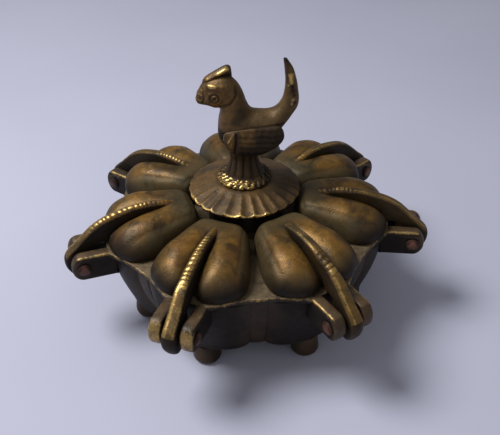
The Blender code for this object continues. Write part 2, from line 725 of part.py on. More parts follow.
def body_mesh():
    """The tray casting: block, hub and ears united, then compartments and holes cut out."""
    petals = all_petals()
    ears = moved_copies("ears", ear_mesh(1), petals)
    more_ears = moved_copies("more_ears", ear_mesh(-1), petals)
    compartments = moved_copies("compartments", compartment_cutter(), petals)
    ear_reach = SLOT_WIDTH / 2 + EAR_THICKNESS + CUT_OVERRUN
    pin_hole = pin_cylinder("pin_hole", PIN_RADIUS + PIVOT_GAP, ear_reach)
    pin_holes = moved_copies("pin_holes", pin_hole, petals)
    hole_radius = FOOT_TENON_RADIUS + PIVOT_GAP
    hole_profile = [(hole_radius, -CUT_OVERRUN), (hole_radius, FLOOR_THICKNESS + CUT_OVERRUN)]
    tenon_hole = turned("tenon_hole", hole_profile, FOOT_SEGMENTS)
    tenon_hole.transform(Matrix.Translation((FOOT_CIRCLE_RADIUS, 0, 0)))
    tenon_holes = moved_copies("tenon_holes", tenon_hole, petals)
    return combined(
        "body", tray_block(),
        additions=[hub_mesh(), ears, more_ears],
        cuts=[compartments, pin_holes, tenon_holes, hub_bore_mesh()],
    )


def hinge_pin_mesh():
    """A rivet with a domed head peened at each end, its origin at its middle."""
    half_span = SLOT_WIDTH / 2 + EAR_THICKNESS + SEAT_GAP
    dome = PIN_HEAD_THICKNESS / 2
    dome_radius = PIN_HEAD_RADIUS - dome
    profile = [
        (dome_radius, -half_span - PIN_HEAD_THICKNESS),
        (PIN_HEAD_RADIUS, -half_span - dome),
        (PIN_HEAD_RADIUS, -half_span),
        (PIN_RADIUS, -half_span),
        (PIN_RADIUS, half_span),
        (PIN_HEAD_RADIUS, half_span),
        (PIN_HEAD_RADIUS, half_span + dome),
        (dome_radius, half_span + PIN_HEAD_THICKNESS),
    ]
    mesh = turned("hinge_pin", profile, PIN_SEGMENTS)
    mesh.transform(Matrix.Rotation(math.pi / 2, 4, "X"))
    return mesh


def foot_mesh():
    """A stud with a rounded sole, and a tenon that stands in the tray's floor."""
    profile = [
        (FOOT_BOTTOM_RADIUS - FOOT_ROUND, -SEAT_GAP - FOOT_HEIGHT),
        (FOOT_BOTTOM_RADIUS, FOOT_ROUND - SEAT_GAP - FOOT_HEIGHT),
        (FOOT_TOP_RADIUS, -SEAT_GAP),
        (FOOT_TENON_RADIUS, -SEAT_GAP),
        (FOOT_TENON_RADIUS, FLOOR_THICKNESS),
    ]
    return turned("foot", profile, FOOT_SEGMENTS)


def collar_mesh():
    """The collar: a dished disc with radial flutes and a scalloped rim, bored for the stem."""
    bore = THREAD_MEAN_RADIUS + THREAD_HALF_DEPTH + PIVOT_GAP
    flute_start = TIER_RADIUS + SEAT_GAP
    top = COLLAR_SEAT_HEIGHT + COLLAR_HEIGHT
    rim_height = top - COLLAR_DROOP
    profile = [(bore, COLLAR_SEAT_HEIGHT), (bore, top)]
    for step in range(FLUTE_RINGS + 1):
        share = step / FLUTE_RINGS
        radius = flute_start + (COLLAR_RADIUS - flute_start) * share
        profile.append((radius, top - COLLAR_DROOP * share ** COLLAR_DROOP_POWER))
    profile.append((COLLAR_RADIUS, rim_height - COLLAR_RIM_THICKNESS))
    profile.append((COLLAR_RADIUS - COLLAR_RIM_THICKNESS, rim_height - COLLAR_RIM_THICKNESS))
    profile.append((COLLAR_SEAT_RADIUS, COLLAR_SEAT_HEIGHT))

    def reach(radius, height, turn, index):
        share = max(0.0, (radius - flute_start) / (COLLAR_RADIUS - flute_start))
        dip = FLUTE_DEPTH * share * (index % 2)
        if height < rim_height:
            return radius, height
        return radius - dip, height - dip

    return turned("lotus_collar", profile, 2 * COLLAR_FLUTES, reach, ends_filled=False)


def post_mesh():
    """The knob's notched tier and the fluted post that stands on it."""
    tier_top = TIER_SEAT_HEIGHT + TIER_THICKNESS
    profile = [
        (TIER_RADIUS - TIER_THICKNESS / 2, TIER_SEAT_HEIGHT),
        (TIER_RADIUS, TIER_SEAT_HEIGHT + TIER_THICKNESS / 2),
        (TIER_RADIUS - TIER_THICKNESS / 2, tier_top),
    ]
    for up, flare in POST_SHARES:
        radius = POST_WAIST_RADIUS + (POST_BOTTOM_RADIUS - POST_WAIST_RADIUS) * flare
        profile.append((radius, POST_FOOT_HEIGHT + POST_HEIGHT * up))

    def reach(radius, height, turn, index):
        if height <= tier_top:
            return radius - TIER_NOTCH_DEPTH * (index % 2), height
        return radius - POST_FLUTE_DEPTH * (index % 2), height

    return turned("post", profile, 2 * TIER_NOTCHES, reach)


def bird_point(along, up):
    """A point of the bird's side view, from shares of its length and height."""
    return Vector((along * BIRD_LENGTH, up * BIRD_HEIGHT + BELLY_HEIGHT))


def bird_trunk():
    """Head, neck, body and tail in one run of elliptical sections, each set between a point on
    the back and one on the belly."""
    rings = []
    for back, belly, width in BIRD_SECTION_SHARES:
        upper = bird_point(*back)
        lower = bird_point(*belly)
        middle = (upper + lower) / 2
        spread = (upper - lower) / 2
        ring = []
        for index in range(BIRD_SECTION_POINTS):
            turn = math.tau * index / BIRD_SECTION_POINTS
            place = middle + spread * math.cos(turn)
            across = width * BIRD_HALF_WIDTH * math.sin(turn)
            ring.append((place.x, across, place.y))
        rings.append(ring)
    return loft("trunk", rings)


def wing_mesh(side):
    """A folded wing: a plate on the bird's flank."""
    outline = [tuple(bird_point(*share)) for share in WING_SHARES]
    wing = plate("wing", outline, WING_HALF_THICKNESS, WING_HALF_THICKNESS / 2)
    offset = side * WING_STANDOFF_SHARE * BIRD_HALF_WIDTH
    wing.transform(Matrix.Translation((0, offset, 0)))
    return wing


def bird_knob_mesh():
    """Tier, post and bird in one casting, with the stem's socket cut into its foot."""
    crest_outline = [tuple(bird_point(*share)) for share in CREST_SHARES]
    crest = plate("crest", crest_outline, CREST_THICKNESS / 2, CREST_THICKNESS / 4)
    socket_radius = STEM_SHANK_RADIUS + PIVOT_GAP
    socket = turned("socket", [
        (socket_radius, TIER_SEAT_HEIGHT - CUT_OVERRUN),
        (socket_radius, TIER_SEAT_HEIGHT + STEM_SOCKET_DEPTH),
    ], THREAD_SEGMENTS)
    return combined(
        "bird_knob", post_mesh(),
        additions=[bird_trunk(), wing_mesh(1), wing_mesh(-1), crest],
        cuts=[socket],
    )


def stem_mesh():
    """The stem: threaded below, a flange under the collar, and a shank that stands in the knob."""
    thread = thread_profile(0.0, -1)
    shank_top = TIER_SEAT_HEIGHT + STEM_SOCKET_DEPTH - SEAT_GAP
    below = [(STEM_SHANK_RADIUS, THREAD_BOTTOM_HEIGHT - SEAT_GAP)]
    above = [
        (STEM_FLANGE_RADIUS, FLANGE_BOTTOM_HEIGHT),
        (STEM_FLANGE_RADIUS, FLANGE_TOP_HEIGHT),
        (STEM_SHANK_RADIUS, FLANGE_TOP_HEIGHT),
        (STEM_SHANK_RADIUS, shank_top),
    ]
    return threaded_mesh("knob_stem", below, thread, above)


def build_box():
    """Makes every piece of the box in its place."""
    clear_scene()
    bronze = material("aged_brass_body", (0.115, 0.085, 0.050), 0.50, 0.90)
    lid_bronze = material("aged_brass_lids", (0.190, 0.125, 0.060), 0.42, 0.90)
    knob_bronze = material("aged_brass_knob", (0.210, 0.145, 0.075), 0.42, 0.90)
    copper = material("copper_rivet", (0.420, 0.230, 0.150), 0.45, 0.95)
    stem_brass = material("stem_brass", (0.450, 0.330, 0.150), 0.40, 1.00)

    add_piece("body", body_mesh(), bronze)
    lid = petal_lid_mesh()
    pin = hinge_pin_mesh()
    foot = foot_mesh()
    on_hinge = Matrix.Translation((PIN_CIRCLE_RADIUS, 0, PIN_HEIGHT))
    on_foot_circle = Matrix.Translation((FOOT_CIRCLE_RADIUS, 0, 0))
    for number in range(1, PETALS + 1):
        place = petal_matrix(number)
        add_piece(f"petal_lid_{number}", lid, lid_bronze, place @ on_hinge)
        add_piece(f"hinge_pin_{number}", pin, copper, place @ on_hinge)
        add_piece(f"foot_{number}", foot, bronze, place @ on_foot_circle)
    add_piece("lotus_collar", collar_mesh(), knob_bronze)
    add_piece("bird_knob", bird_knob_mesh(), knob_bronze)
    add_piece("knob_stem", stem_mesh(), stem_brass)


build_box()
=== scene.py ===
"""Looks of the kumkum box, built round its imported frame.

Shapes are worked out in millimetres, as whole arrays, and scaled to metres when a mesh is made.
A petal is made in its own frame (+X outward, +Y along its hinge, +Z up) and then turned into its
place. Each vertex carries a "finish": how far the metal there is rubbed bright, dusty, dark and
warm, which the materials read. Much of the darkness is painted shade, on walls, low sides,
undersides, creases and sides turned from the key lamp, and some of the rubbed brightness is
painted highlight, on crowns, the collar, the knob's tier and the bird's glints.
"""

import json
import math

import bmesh
import bpy
import numpy as np
from mathutils import Matrix, Vector


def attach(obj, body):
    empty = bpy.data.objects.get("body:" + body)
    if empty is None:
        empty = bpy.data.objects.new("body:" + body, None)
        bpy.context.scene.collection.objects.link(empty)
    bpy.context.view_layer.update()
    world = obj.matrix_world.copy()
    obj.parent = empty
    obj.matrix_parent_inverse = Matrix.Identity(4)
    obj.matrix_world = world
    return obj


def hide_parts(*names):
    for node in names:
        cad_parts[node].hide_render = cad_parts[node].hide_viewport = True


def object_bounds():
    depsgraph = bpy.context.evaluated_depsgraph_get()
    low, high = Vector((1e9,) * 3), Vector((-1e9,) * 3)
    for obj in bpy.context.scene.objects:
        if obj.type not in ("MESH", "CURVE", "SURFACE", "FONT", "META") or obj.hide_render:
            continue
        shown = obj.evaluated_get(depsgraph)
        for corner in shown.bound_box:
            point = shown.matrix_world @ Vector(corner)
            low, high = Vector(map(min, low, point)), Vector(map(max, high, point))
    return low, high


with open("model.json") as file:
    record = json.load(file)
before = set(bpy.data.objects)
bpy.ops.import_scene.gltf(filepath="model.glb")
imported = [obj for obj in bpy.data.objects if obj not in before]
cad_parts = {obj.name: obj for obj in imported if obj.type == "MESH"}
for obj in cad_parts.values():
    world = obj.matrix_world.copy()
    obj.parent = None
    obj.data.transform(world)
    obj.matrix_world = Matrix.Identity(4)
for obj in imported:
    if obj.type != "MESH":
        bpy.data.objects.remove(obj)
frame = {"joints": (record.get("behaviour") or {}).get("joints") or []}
CAD_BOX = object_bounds()

MM = 0.001
MERGE = 1e-7  # metres within which a mesh's own points are one
SLIVER = 1e-6  # metres within which the points that a cut leaves are one
TINY = 1e-9  # stands for zero in divisors, signs and a test
FINISH = "finish"
CURVE_STEPS = 24  # steps between two given points of a smooth curve

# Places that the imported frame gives
PETALS = 7
HALF_TURN = math.pi / PETALS
JOINT_PLACES = {joint["name"]: joint.get("pos_m") for joint in frame["joints"]}
HINGES = [JOINT_PLACES[f"lid_{number}_hinge"] for number in range(1, PETALS + 1)]
TURNS = [math.atan2(y, x) for x, y, z in HINGES]
PLACES = [Matrix.Rotation(turn, 4, "Z") for turn in TURNS]
PIN_REACH = round(math.hypot(*HINGES[0][:2]) / MM, 2)
PIN_HEIGHT = round(HINGES[0][2] / MM, 2)
COLLAR_SEAT = round(JOINT_PLACES["knob_turn"][2] / MM, 2)
SOLE = round(CAD_BOX[0][2] / MM, 2)

# Heights and clearances that several pieces share
GAP = 0.3
FLOOR = 2.0
UNDER_DECK = 21.8
DECK = 23.4
LID_BASE = DECK + GAP
HUB_TOP = COLLAR_SEAT - GAP
COLLAR_RISE = 2.5
TIER_SEAT = COLLAR_SEAT + COLLAR_RISE + GAP
POST_FOOT = TIER_SEAT + 1.8
BELLY = POST_FOOT + 7.2
HOLE = 1.8  # radius of the holes for the pins and for the feet's tenons
FOOT_REACH = 32.2
ON_PIN = Matrix.Translation((PIN_REACH * MM, 0, PIN_HEIGHT * MM)) @ Matrix.Rotation(math.pi / 2, 4, "X")
ON_FOOT = Matrix.Translation((FOOT_REACH * MM, 0, 0))

# Petal lids
LID_INNER = 15.0
LID_OUTER = 42.5
LID_MIDDLE = 27.5
LID_END = 8.5
LID_SHOULDER = 4.2
LID_BROAD = 14.1
LID_SIDE_GAP = 0.8
LID_EDGE = 1.5
LID_CROWN = 9.2
LID_CROWN_REACH = 29.0
LID_CREST_SHARE = 0.42  # of a bulge's width, from the spine
LID_VALLEY_SHARE = 0.32  # of the bulges' rise, lost between them
LID_WALL = 1.5
SPINE_GROOVE = 0.8
BORDER_CREASE = 0.11
BORDER_SWELL = 0.10
HAND_WAVE = 0.12
WIDTH_BLEND = 12
# How far below the edge's top and how far inwards each ring of a lid's rolled edge lies
EDGE_ROLL = ((0.35, 0.0), (0.8, 0.0), (1.15, 0.08), (1.38, 0.25), (LID_EDGE, 0.5))
# How warm each lid's bulges are, and how far their crowns are rubbed bright, set lid by lid: partly
# wear, and partly painted light, duller on lids turned from the key lamp and with a painted
# highlight on the crowns of lids that face it
CROWN_WARMTH_AND_HIGHLIGHTS = ((1.0, 0.10), (1.0, 0.10), (0.90, 0.14), (0.66, 0.02), (0.80, 0.10), (1.0, 0.34), (1.0, 0.20))

# Spine, fin and tail of a lid
CLEFT_START = 2.1
CLEFT_DEPTH = 2.6
CLEFT_WIDTH = 2.6
FIN_HALF = 2.2
FIN_ROUND = 0.95
SPINE_HALF_START = 0.60
SPINE_HALF_GROWTH = 0.0245
SPINE_RISE = 10.3
TAIL_RADIUS = 5.2
NOTCH_PITCH = 1.45
NOTCH_DEPTH = 0.42
CREST_POINTS = 360
OFF_CREST = 2.0  # the share given to points that aren't on the crest
# (share of the way from the lid's inner end to the pin, share of the spine's rise)
SPINE_TOP_SHARES = (
    (0.095, 0.60), (0.135, 0.78), (0.20, 0.90), (0.314, 0.98), (0.429, 1.0), (0.543, 0.97),
    (0.657, 0.885), (0.771, 0.76), (0.871, 0.575), (0.957, 0.32), (1.03, 0.085),
)
SPINE_UNDER_SHARES = ((0.763, 0.0), (0.714, 0.29), (0.629, 0.437), (0.371, 0.60), (0.16, 0.56))
# (degrees round the pin from straight outward, share of the tail's radius)
TAIL_SHARES = (
    (46, 0.92), (22, 0.94), (0, 0.95), (-25, 0.98), (-50, 1.05), (-66, 1.09), (-80, 1.03),
    (-95, 1.0), (-120, 1.0), (-150, 1.0), (-180, 1.0),
)
# For each lid, the shares along the crest where its notches start and end, how worn the crest is,
# and how dark the fin's sides are, which is painted shade set lid by lid
SPINES = (
    (0.16, 0.84, 1.0, 1.0), (0.62, 0.86, 0.6, 0.80), (0.18, 0.50, 0.5, 0.74), (0.14, 0.30, 0.5, 0.85),
    (0.14, 0.40, 0.5, 0.90), (0.14, 0.52, 0.8, 0.92), (0.16, 0.90, 0.7, 0.97),
)

# Tray
WALL_ROUND = 2.4
FLAT_REACH = 23.5  # of the flat underside, which rises from here to the wall
UNDERSIDE_RISE = 0.2
WALL_FOOT = 37.0
VALLEY_FOOT = 32.8
WALL_LEAN = 4.6
VALLEY_LEAN = 5.8
GROOVE_SHARE = 0.86  # of the way to the next petal
PILASTER_EDGE = (0.835, 0.875)  # of the same way
GROOVE = 0.5
RIM_FLAT = 42.8
RIM_CORNER = 6.1
RIM_VALLEY = 39.4
RIM_ROUND = 0.35
MOUTH_INSET = 2.0
MOUTH_OUTER = 39.2
FLOOR_OUTER = 34.6
FLOOR_INSET = 2.2
FLOOR_ROUND = 1.2
MOUTH_CORNER = 3.0
EAR_ROOT = 40.4
EAR_HALF = 1.67
EAR_OFFSET = 4.43
EAR_NOSE = 3.38
EAR_DROP = 3.9
EAR_REACH = 6.4  # across from a petal's middle, just past its ears

# Pins and feet
PIN_RADIUS = 1.5
PIN_HALF = 6.4
HEAD_RADIUS = 2.0
HEAD_RISE = 0.7
FOOT_RADIUS = 4.15
TENON_RADIUS = 1.5

# Stem, and its thread in the hub
STEM_FOOT = 23.7
STEM_TOP = 40.7
SHANK = 2.1
FLANGE = 4.2
FLANGE_FOOT = 32.3
FLANGE_BORE = 4.5
STEM_MEAN = 2.6
BORE_MEAN = 2.9
THREAD_PITCH = 2.0
THREAD_HALF_DEPTH = 0.35
THREAD_TOP = 32.0
THREAD_FADE = 0.8

# Collar, knob and bird
COLLAR_REACH = 16.4
COLLAR_BORE = 3.25
COLLAR_DROOP = 2.7
COLLAR_EDGE = ((-0.02, 0.2), (-0.02, 0.6), (0.15, 0.95), (0.5, 1.1), (1.1, 1.1))  # inwards, down
FLUTE_START = 8.3
FLUTES = 26
FLUTE_DEPTH = 0.52
SCALLOP = 0.45
TIER_REACH = 8.0
TIER_NOTCHES = 20
TIER_CUT = 0.45
POST_FLUTES = 12
POST_CUT = 0.45
BIRD_LENGTH = 28.0
BIRD_HEIGHT = 29.0
BIRD_HALF_WIDTH = 5.2
CREST_HALF = 1.25
WING_HALF = 1.35
WING_OFFSET = 4.37


def smoothstep(low, high, value):
    """s * s * (3 - 2 * s) for the share s, from 0 to 1, of the way from low to high."""
    share = np.clip((value - low) / (high - low), 0.0, 1.0)
    return share * share * (3 - 2 * share)


def hump(value, centre, width):
    """1 at the centre, falling as a bell: exp(-((value - centre) / width) ** 2)."""
    return np.exp(-((value - centre) / width) ** 2)


def arch(share, power):
    """1 at share 0, falling as a round shoulder to 0 at 1: (1 - |share| ** power) ** (1 / power)."""
    return np.clip(1 - np.abs(share) ** power, 0, 1) ** (1 / power)


def run_along(curve):
    """How far along a curve each of its points lies."""
    return np.concatenate([[0.0], np.cumsum(np.linalg.norm(np.diff(curve, axis=0), axis=1))])


def even_points(curve, count):
    """Reads count points at even steps along an open curve."""
    run = run_along(curve)
    at = np.linspace(0, run[-1], count)
    return np.stack([np.interp(at, run, column) for column in curve.T], 1)


def smooth_curve(points, count):
    """Even points on a smooth curve through the given ones. Between b and c, with a before and d
    after them, it is half of the sum of 2b, (c - a) * t, (2a - 5b + 4c - d) * t ** 2 and
    (3b - a - 3c + d) * t ** 3."""
    given = np.asarray(points, float)
    ends = np.vstack([2 * given[0] - given[1], given, 2 * given[-1] - given[-2]])
    spans = len(given) - 1
    place = np.linspace(0, spans, CURVE_STEPS * spans + 1)
    span = np.minimum(place.astype(int), spans - 1)
    t = (place - span)[:, None]
    a, b, c, d = (ends[span + k] for k in range(4))
    curve = 0.5 * (2 * b + (c - a) * t + (2 * a - 5 * b + 4 * c - d) * t ** 2
                   + (3 * b - a - 3 * c + d) * t ** 3)
    return even_points(curve, count)


def normals_of(points, wrap=False):
    """Unit normals of a grid of points: the cross product of its rows' and columns' differences."""
    along = np.gradient(points, axis=0)
    if wrap:
        across = (np.roll(points, -1, 1) - np.roll(points, 1, 1)) / 2
    else:
        across = np.gradient(points, axis=1)
    normal = np.cross(along, across)
    return normal / np.maximum(np.linalg.norm(normal, axis=2, keepdims=True), TINY)


def polar(points):
    """Radius and turn of points about Z."""
    return np.hypot(points[..., 0], points[..., 1]), np.arctan2(points[..., 1], points[..., 0])


def finish_at(points, rub_and_highlight=0.0, dust=0.0, dark=0.0, warm=0.0):
    """The finish of points, from numbers or from arrays as large as they are."""
    shape = points.shape[:-1]
    return np.stack([np.broadcast_to(part, shape).astype(float) for part in (rub_and_highlight, dust, dark, warm)], -1)


def grid(points, finish, wrap=False):
    """A patch: the quads between the rows of points; wrap joins the last column to the first."""
    rows, columns = points.shape[:2]
    index = np.arange(rows * columns).reshape(rows, columns)
    if wrap:
        index = np.hstack([index, index[:, :1]])
    quads = np.stack([index[:-1, :-1], index[:-1, 1:], index[1:, 1:], index[1:, :-1]], -1)
    return points.reshape(-1, 3), quads.reshape(-1, 4), finish.reshape(-1, 4)


def capped(points, finish):
    """The patches of a closed skin: rings of points, and a face over each end that is a ring."""
    patches = [grid(points, finish, wrap=True)]
    for end in (0, -1):
        if np.ptp(points[end], axis=0).max() > TINY:
            patches.append((points[end], np.arange(points.shape[1])[None, :], finish[end]))
    return patches


def read(data, field, width):
    """A field of a mesh's vertices or of an attribute, as rows of so many numbers."""
    values = np.empty(len(data) * width)
    data.foreach_get(field, values)
    return values.reshape(-1, width)


def write_finish(mesh, finish):
    """Gives a mesh's vertices their finish, in place of any that they have."""
    old = mesh.attributes.get(FINISH)
    if old is not None:
        mesh.attributes.remove(old)
    layer = mesh.attributes.new(FINISH, "FLOAT_COLOR", "POINT")
    layer.data.foreach_set("color", finish.ravel())


def merged(mesh, distance):
    """Makes points within a distance one, and turns a mesh's faces outwards."""
    shape = bmesh.new()
    shape.from_mesh(mesh)
    bmesh.ops.remove_doubles(shape, verts=shape.verts, dist=distance)
    bmesh.ops.recalc_face_normals(shape, faces=shape.faces)
    shape.to_mesh(mesh)
    shape.free()
    return mesh


def smooth(mesh, sharp=38.0):
    """Shades a mesh smooth, apart from its edges that are sharper than an angle in degrees."""
    mesh.shade_smooth()
    mesh.set_sharp_from_angle(angle=math.radians(sharp))
    return mesh


def mesh_of(name, patches, sharp=38.0):
    """One smooth mesh in metres of several patches: each is points, faces and finish."""
    starts = np.cumsum([0] + [len(points) for points, faces, finish in patches])
    vertices = np.concatenate([points for points, faces, finish in patches]) * MM
    sides = [face for start, patch in zip(starts, patches) for face in (start + patch[1]).tolist()]
    mesh = bpy.data.meshes.new(name)
    mesh.from_pydata(vertices.tolist(), [], sides)
    write_finish(mesh, np.concatenate([finish for points, faces, finish in patches]))
    return smooth(merged(mesh, MERGE), sharp)


def link(name, data):
    """Puts a new object into the scene."""
    made = bpy.data.objects.new(name, data)
    bpy.context.scene.collection.objects.link(made)
    return made


def boolean(name, mesh, additions=(), cuts=()):
    """Unites closed meshes with a first one, cuts others out of it and merges the slivers that
    the cuts leave."""
    target = link(name, mesh)
    helpers = []
    for operation, others in (("UNION", additions), ("DIFFERENCE", cuts)):
        for other in others:
            helper = link(other.name, other)
            helpers.append(helper)
            modifier = target.modifiers.new(other.name, "BOOLEAN")
            modifier.operation = operation
            modifier.solver = "EXACT"
            modifier.object = helper
    graph = bpy.context.evaluated_depsgraph_get()
    result = bpy.data.meshes.new_from_object(target.evaluated_get(graph))
    result.name = name
    for helper in helpers + [target]:
        bpy.data.objects.remove(helper, do_unlink=True)
    return merged(result, SLIVER)


def moved(mesh, matrix):
    """A copy of a mesh, moved by a matrix."""
    copy = mesh.copy()
    copy.transform(matrix)
    return copy


def joined(name, meshes):
    """One mesh that holds several."""
    shape = bmesh.new()
    for mesh in meshes:
        shape.from_mesh(mesh)
    result = bpy.data.meshes.new(name)
    shape.to_mesh(result)
    shape.free()
    return result


def copies(name, mesh, matrices):
    """One mesh with a copy of the given one at each matrix."""
    return joined(name, [moved(mesh, matrix) for matrix in matrices])


def turned(profile, segments, reach=None):
    """Points of a profile of (radius, height) turned about Z, as rows by columns: radius * cos(turn),
    radius * sin(turn) and height. reach(radius, height, turn) may change radius and height."""
    profile = np.asarray(profile, float)
    turn = np.linspace(0, math.tau, segments, endpoint=False)[None, :]
    radius, height, turn = np.broadcast_arrays(profile[:, :1], profile[:, 1:2], turn)
    if reach is not None:
        radius, height = reach(radius, height, turn)
    return np.stack([radius * np.cos(turn), radius * np.sin(turn), height], -1)


def turned_mesh(name, profile, segments, finish_of=finish_at, reach=None, sharp=38.0):
    """A closed turned solid; finish_of(points) gives its finish."""
    points = turned(profile, segments, reach)
    return mesh_of(name, capped(points, finish_of(points)), sharp)


def hole_mesh(name, low, high, segments, place):
    """A cylinder that cuts a hole for a pin or a tenon."""
    return moved(turned_mesh(name, [(HOLE, low), (HOLE, high)], segments), place)


def rounded_profile(corners, steps=5):
    """A profile of (radius, height, rounding) corners. Each rounding cuts its corner c by a curve
    between the points a and b that lie so far from it: the sum of (1 - t) ** 2 * a,
    2 * t * (1 - t) * c and t ** 2 * b."""
    corners = np.asarray(corners, float)
    t = np.linspace(0, 1, steps)[:, None]
    points = [corners[:1, :2]]
    for before, (*corner, size), after in zip(corners[:-2, :2], corners[1:-1], corners[2:, :2]):
        if size == 0:
            points.append([corner])
            continue
        a, b = (corner + (end - corner) * size / np.linalg.norm(end - corner) for end in (before, after))
        points.append((1 - t) ** 2 * a + 2 * t * (1 - t) * corner + t ** 2 * b)
    return np.vstack(points + [corners[-1:, :2]])


def outward_normals(outline):
    """Normals in the plane of a closed outline of (x, z) points: its tangents, turned."""
    along = np.roll(outline, -1, 0) - np.roll(outline, 1, 0)
    normal = np.stack([along[:, 1], -along[:, 0]], 1)
    normal /= np.maximum(np.linalg.norm(normal, axis=1, keepdims=True), TINY)
    x, z = outline.T
    area = np.sum(x * np.roll(z, -1) - np.roll(x, -1) * z)
    return normal if area > 0 else -normal


def pillow(outline, half, depth, power, levels, dip=None):
    """A plate across Y with rounded edges, as rings of points and their shares of its half
    thickness. At a share the outline is drawn in by depth * (1 - arch(share)); dip(share) draws it
    in further."""
    turn = np.linspace(-1, 1, levels)[:, None]
    share = np.sign(turn) * np.sin(np.abs(turn) * math.pi / 2) ** 0.8
    drawn = depth * (1 - arch(share, power))
    if dip is not None:
        drawn = drawn + dip(share)
    drawn = np.broadcast_to(drawn, (levels, len(outline)))
    flat = outline - outward_normals(outline) * drawn[..., None]
    across = np.broadcast_to(half * share, drawn.shape)
    return np.stack([flat[..., 0], across, flat[..., 1]], -1), share


def hand_waves(points):
    """A slow unevenness, as of a shape finished by hand: the mean of three sine waves."""
    x, y, z = points[..., 0], points[..., 1], points[..., 2]
    return (np.sin(0.55 * x + 0.9 * y + 1.3) + np.sin(0.8 * x - 0.7 * y + 0.4 * z)
            + np.sin(0.35 * y + 0.9 * z - 0.5 * x)) / 3


# Petal lids

def lid_half_width(radius, inset):
    """Half a lid's width: (room ** -12 + broad ** -12) ** (-1 / 12), near the smaller of the room
    between its neighbours and its broadest width."""
    room = radius * math.tan(HALF_TURN) - (LID_SIDE_GAP + inset) / math.cos(HALF_TURN)
    broad = LID_BROAD - inset
    return (room ** -WIDTH_BLEND + broad ** -WIDTH_BLEND) ** (-1 / WIDTH_BLEND)


def spine_half(radius):
    """Half the spine's visible thickness, which grows evenly so that the fin's sides stay flat."""
    return SPINE_HALF_START + SPINE_HALF_GROWTH * radius


def lid_half_skin(inset, rows, columns):
    """Half a lid's skin, by s from its inner to its outer end and q from its spine to its side:
    radius = near(q) + (far(q) - near(q)) * s, across = spine + (width(s) - spine) * q, and height =
    edge + rise * fall(radius) * level(q), less a groove beside the spine. The level falls from
    the crest as a square towards the spine and as a round shoulder towards the side."""
    s = (1 - np.cos(math.pi * np.linspace(0, 1, rows)))[:, None] / 2
    even = np.linspace(0, 1, columns)
    q = np.clip(0.35 * even + 0.65 * np.sin(even * math.pi / 2), 0, 1)[None, :]
    inner = LID_INNER + inset
    outer = LID_OUTER - inset
    side = inner + LID_SHOULDER + (outer - LID_END - inner - LID_SHOULDER) * s
    width = lid_half_width(side, inset)
    cleft = CLEFT_DEPTH * hump(CLEFT_START + (width[-1:] - CLEFT_START) * q, 0.9, CLEFT_WIDTH)
    near = inner + LID_SHOULDER * (1 - arch(q, 2.4))
    far = outer - LID_END * (1 - arch(q, 2)) - cleft
    radius = near + (far - near) * s
    spine = spine_half(radius)
    across = spine + (width - spine) * q
    out = np.clip((radius - LID_CROWN_REACH) / (far - LID_CROWN_REACH), 0, 1)
    back = np.clip((LID_CROWN_REACH - radius) / (LID_CROWN_REACH - near), 0, 1)
    fall_back = (1 - back ** 10) ** 0.55 * (1 - 0.06 * back ** 2)
    fall = np.where(radius > LID_CROWN_REACH, (1 - out ** 2) ** 0.56, fall_back)
    rise = (LID_CROWN - inset - LID_EDGE) * fall
    valley = (LID_VALLEY_SHARE + 0.08 * (inset > 0)) * smoothstep(21, 35, radius)
    down = np.maximum(q - LID_CREST_SHARE, 0) / (1 - LID_CREST_SHARE)
    shoulder = np.clip(1 - down ** 2.2, 0, 1) ** 0.55
    level = np.where(q < LID_CREST_SHARE, 1 - valley * (1 - q / LID_CREST_SHARE) ** 2, shoulder)
    groove = SPINE_GROOVE * hump(across - spine, 0, 0.6) * smoothstep(22, 30, radius)
    if inset > 0:
        groove = groove + 1.1 * hump(across, 0, 3.2)
    to_border = np.minimum((1 - q) * (width - CLEFT_START), radius - near)
    half = np.stack([radius, across, LID_EDGE + rise * level - groove], -1)
    return half, across - spine, to_border


def lid_finish(half, from_spine, to_border, warmth, crown_rub_and_highlight):
    """Warm on the crowns, dusty along the border, and darkened in the groove beside the spine and
    low on the sides, which is painted shade; the rub on each crown is partly wear and partly a
    painted highlight.
    """
    radius, across, height = half[..., 0], half[..., 1], half[..., 2]
    level = np.clip((height - LID_EDGE) / (LID_CROWN - LID_EDGE), 0, 1)
    warm = warmth * smoothstep(0.30, 0.95, level) * smoothstep(18, 27, radius)
    band = (1 - smoothstep(1.3, 2.6, to_border)) * (1 - smoothstep(30, 36, radius))
    saddle = 0.85 * (1 - smoothstep(18, 26, radius))
    toe = smoothstep(38, 41, radius) * smoothstep(1.5, 4.0, across) * smoothstep(0.3, 0.7, level)
    dust = 0.85 * np.maximum(band, saddle) + 0.35 * toe
    # painted shade: the groove beside the spine and the low sides of each bulge are darkened
    groove = 0.95 * hump(from_spine, 0.1, 0.7) * smoothstep(19, 25, radius)
    low = 1 - smoothstep(0.05, 0.62, level)
    dark = np.maximum(groove, 0.95 * low * (1 - 0.70 * dust))
    # partly wear, partly a painted highlight on each bulge's crown
    rub_and_highlight = crown_rub_and_highlight * hump(radius, 31, 7) * hump(across, 7.0, 3.0)
    return finish_at(half, rub_and_highlight, np.clip(dust, 0, 1), np.clip(dark, 0, 1), warm)


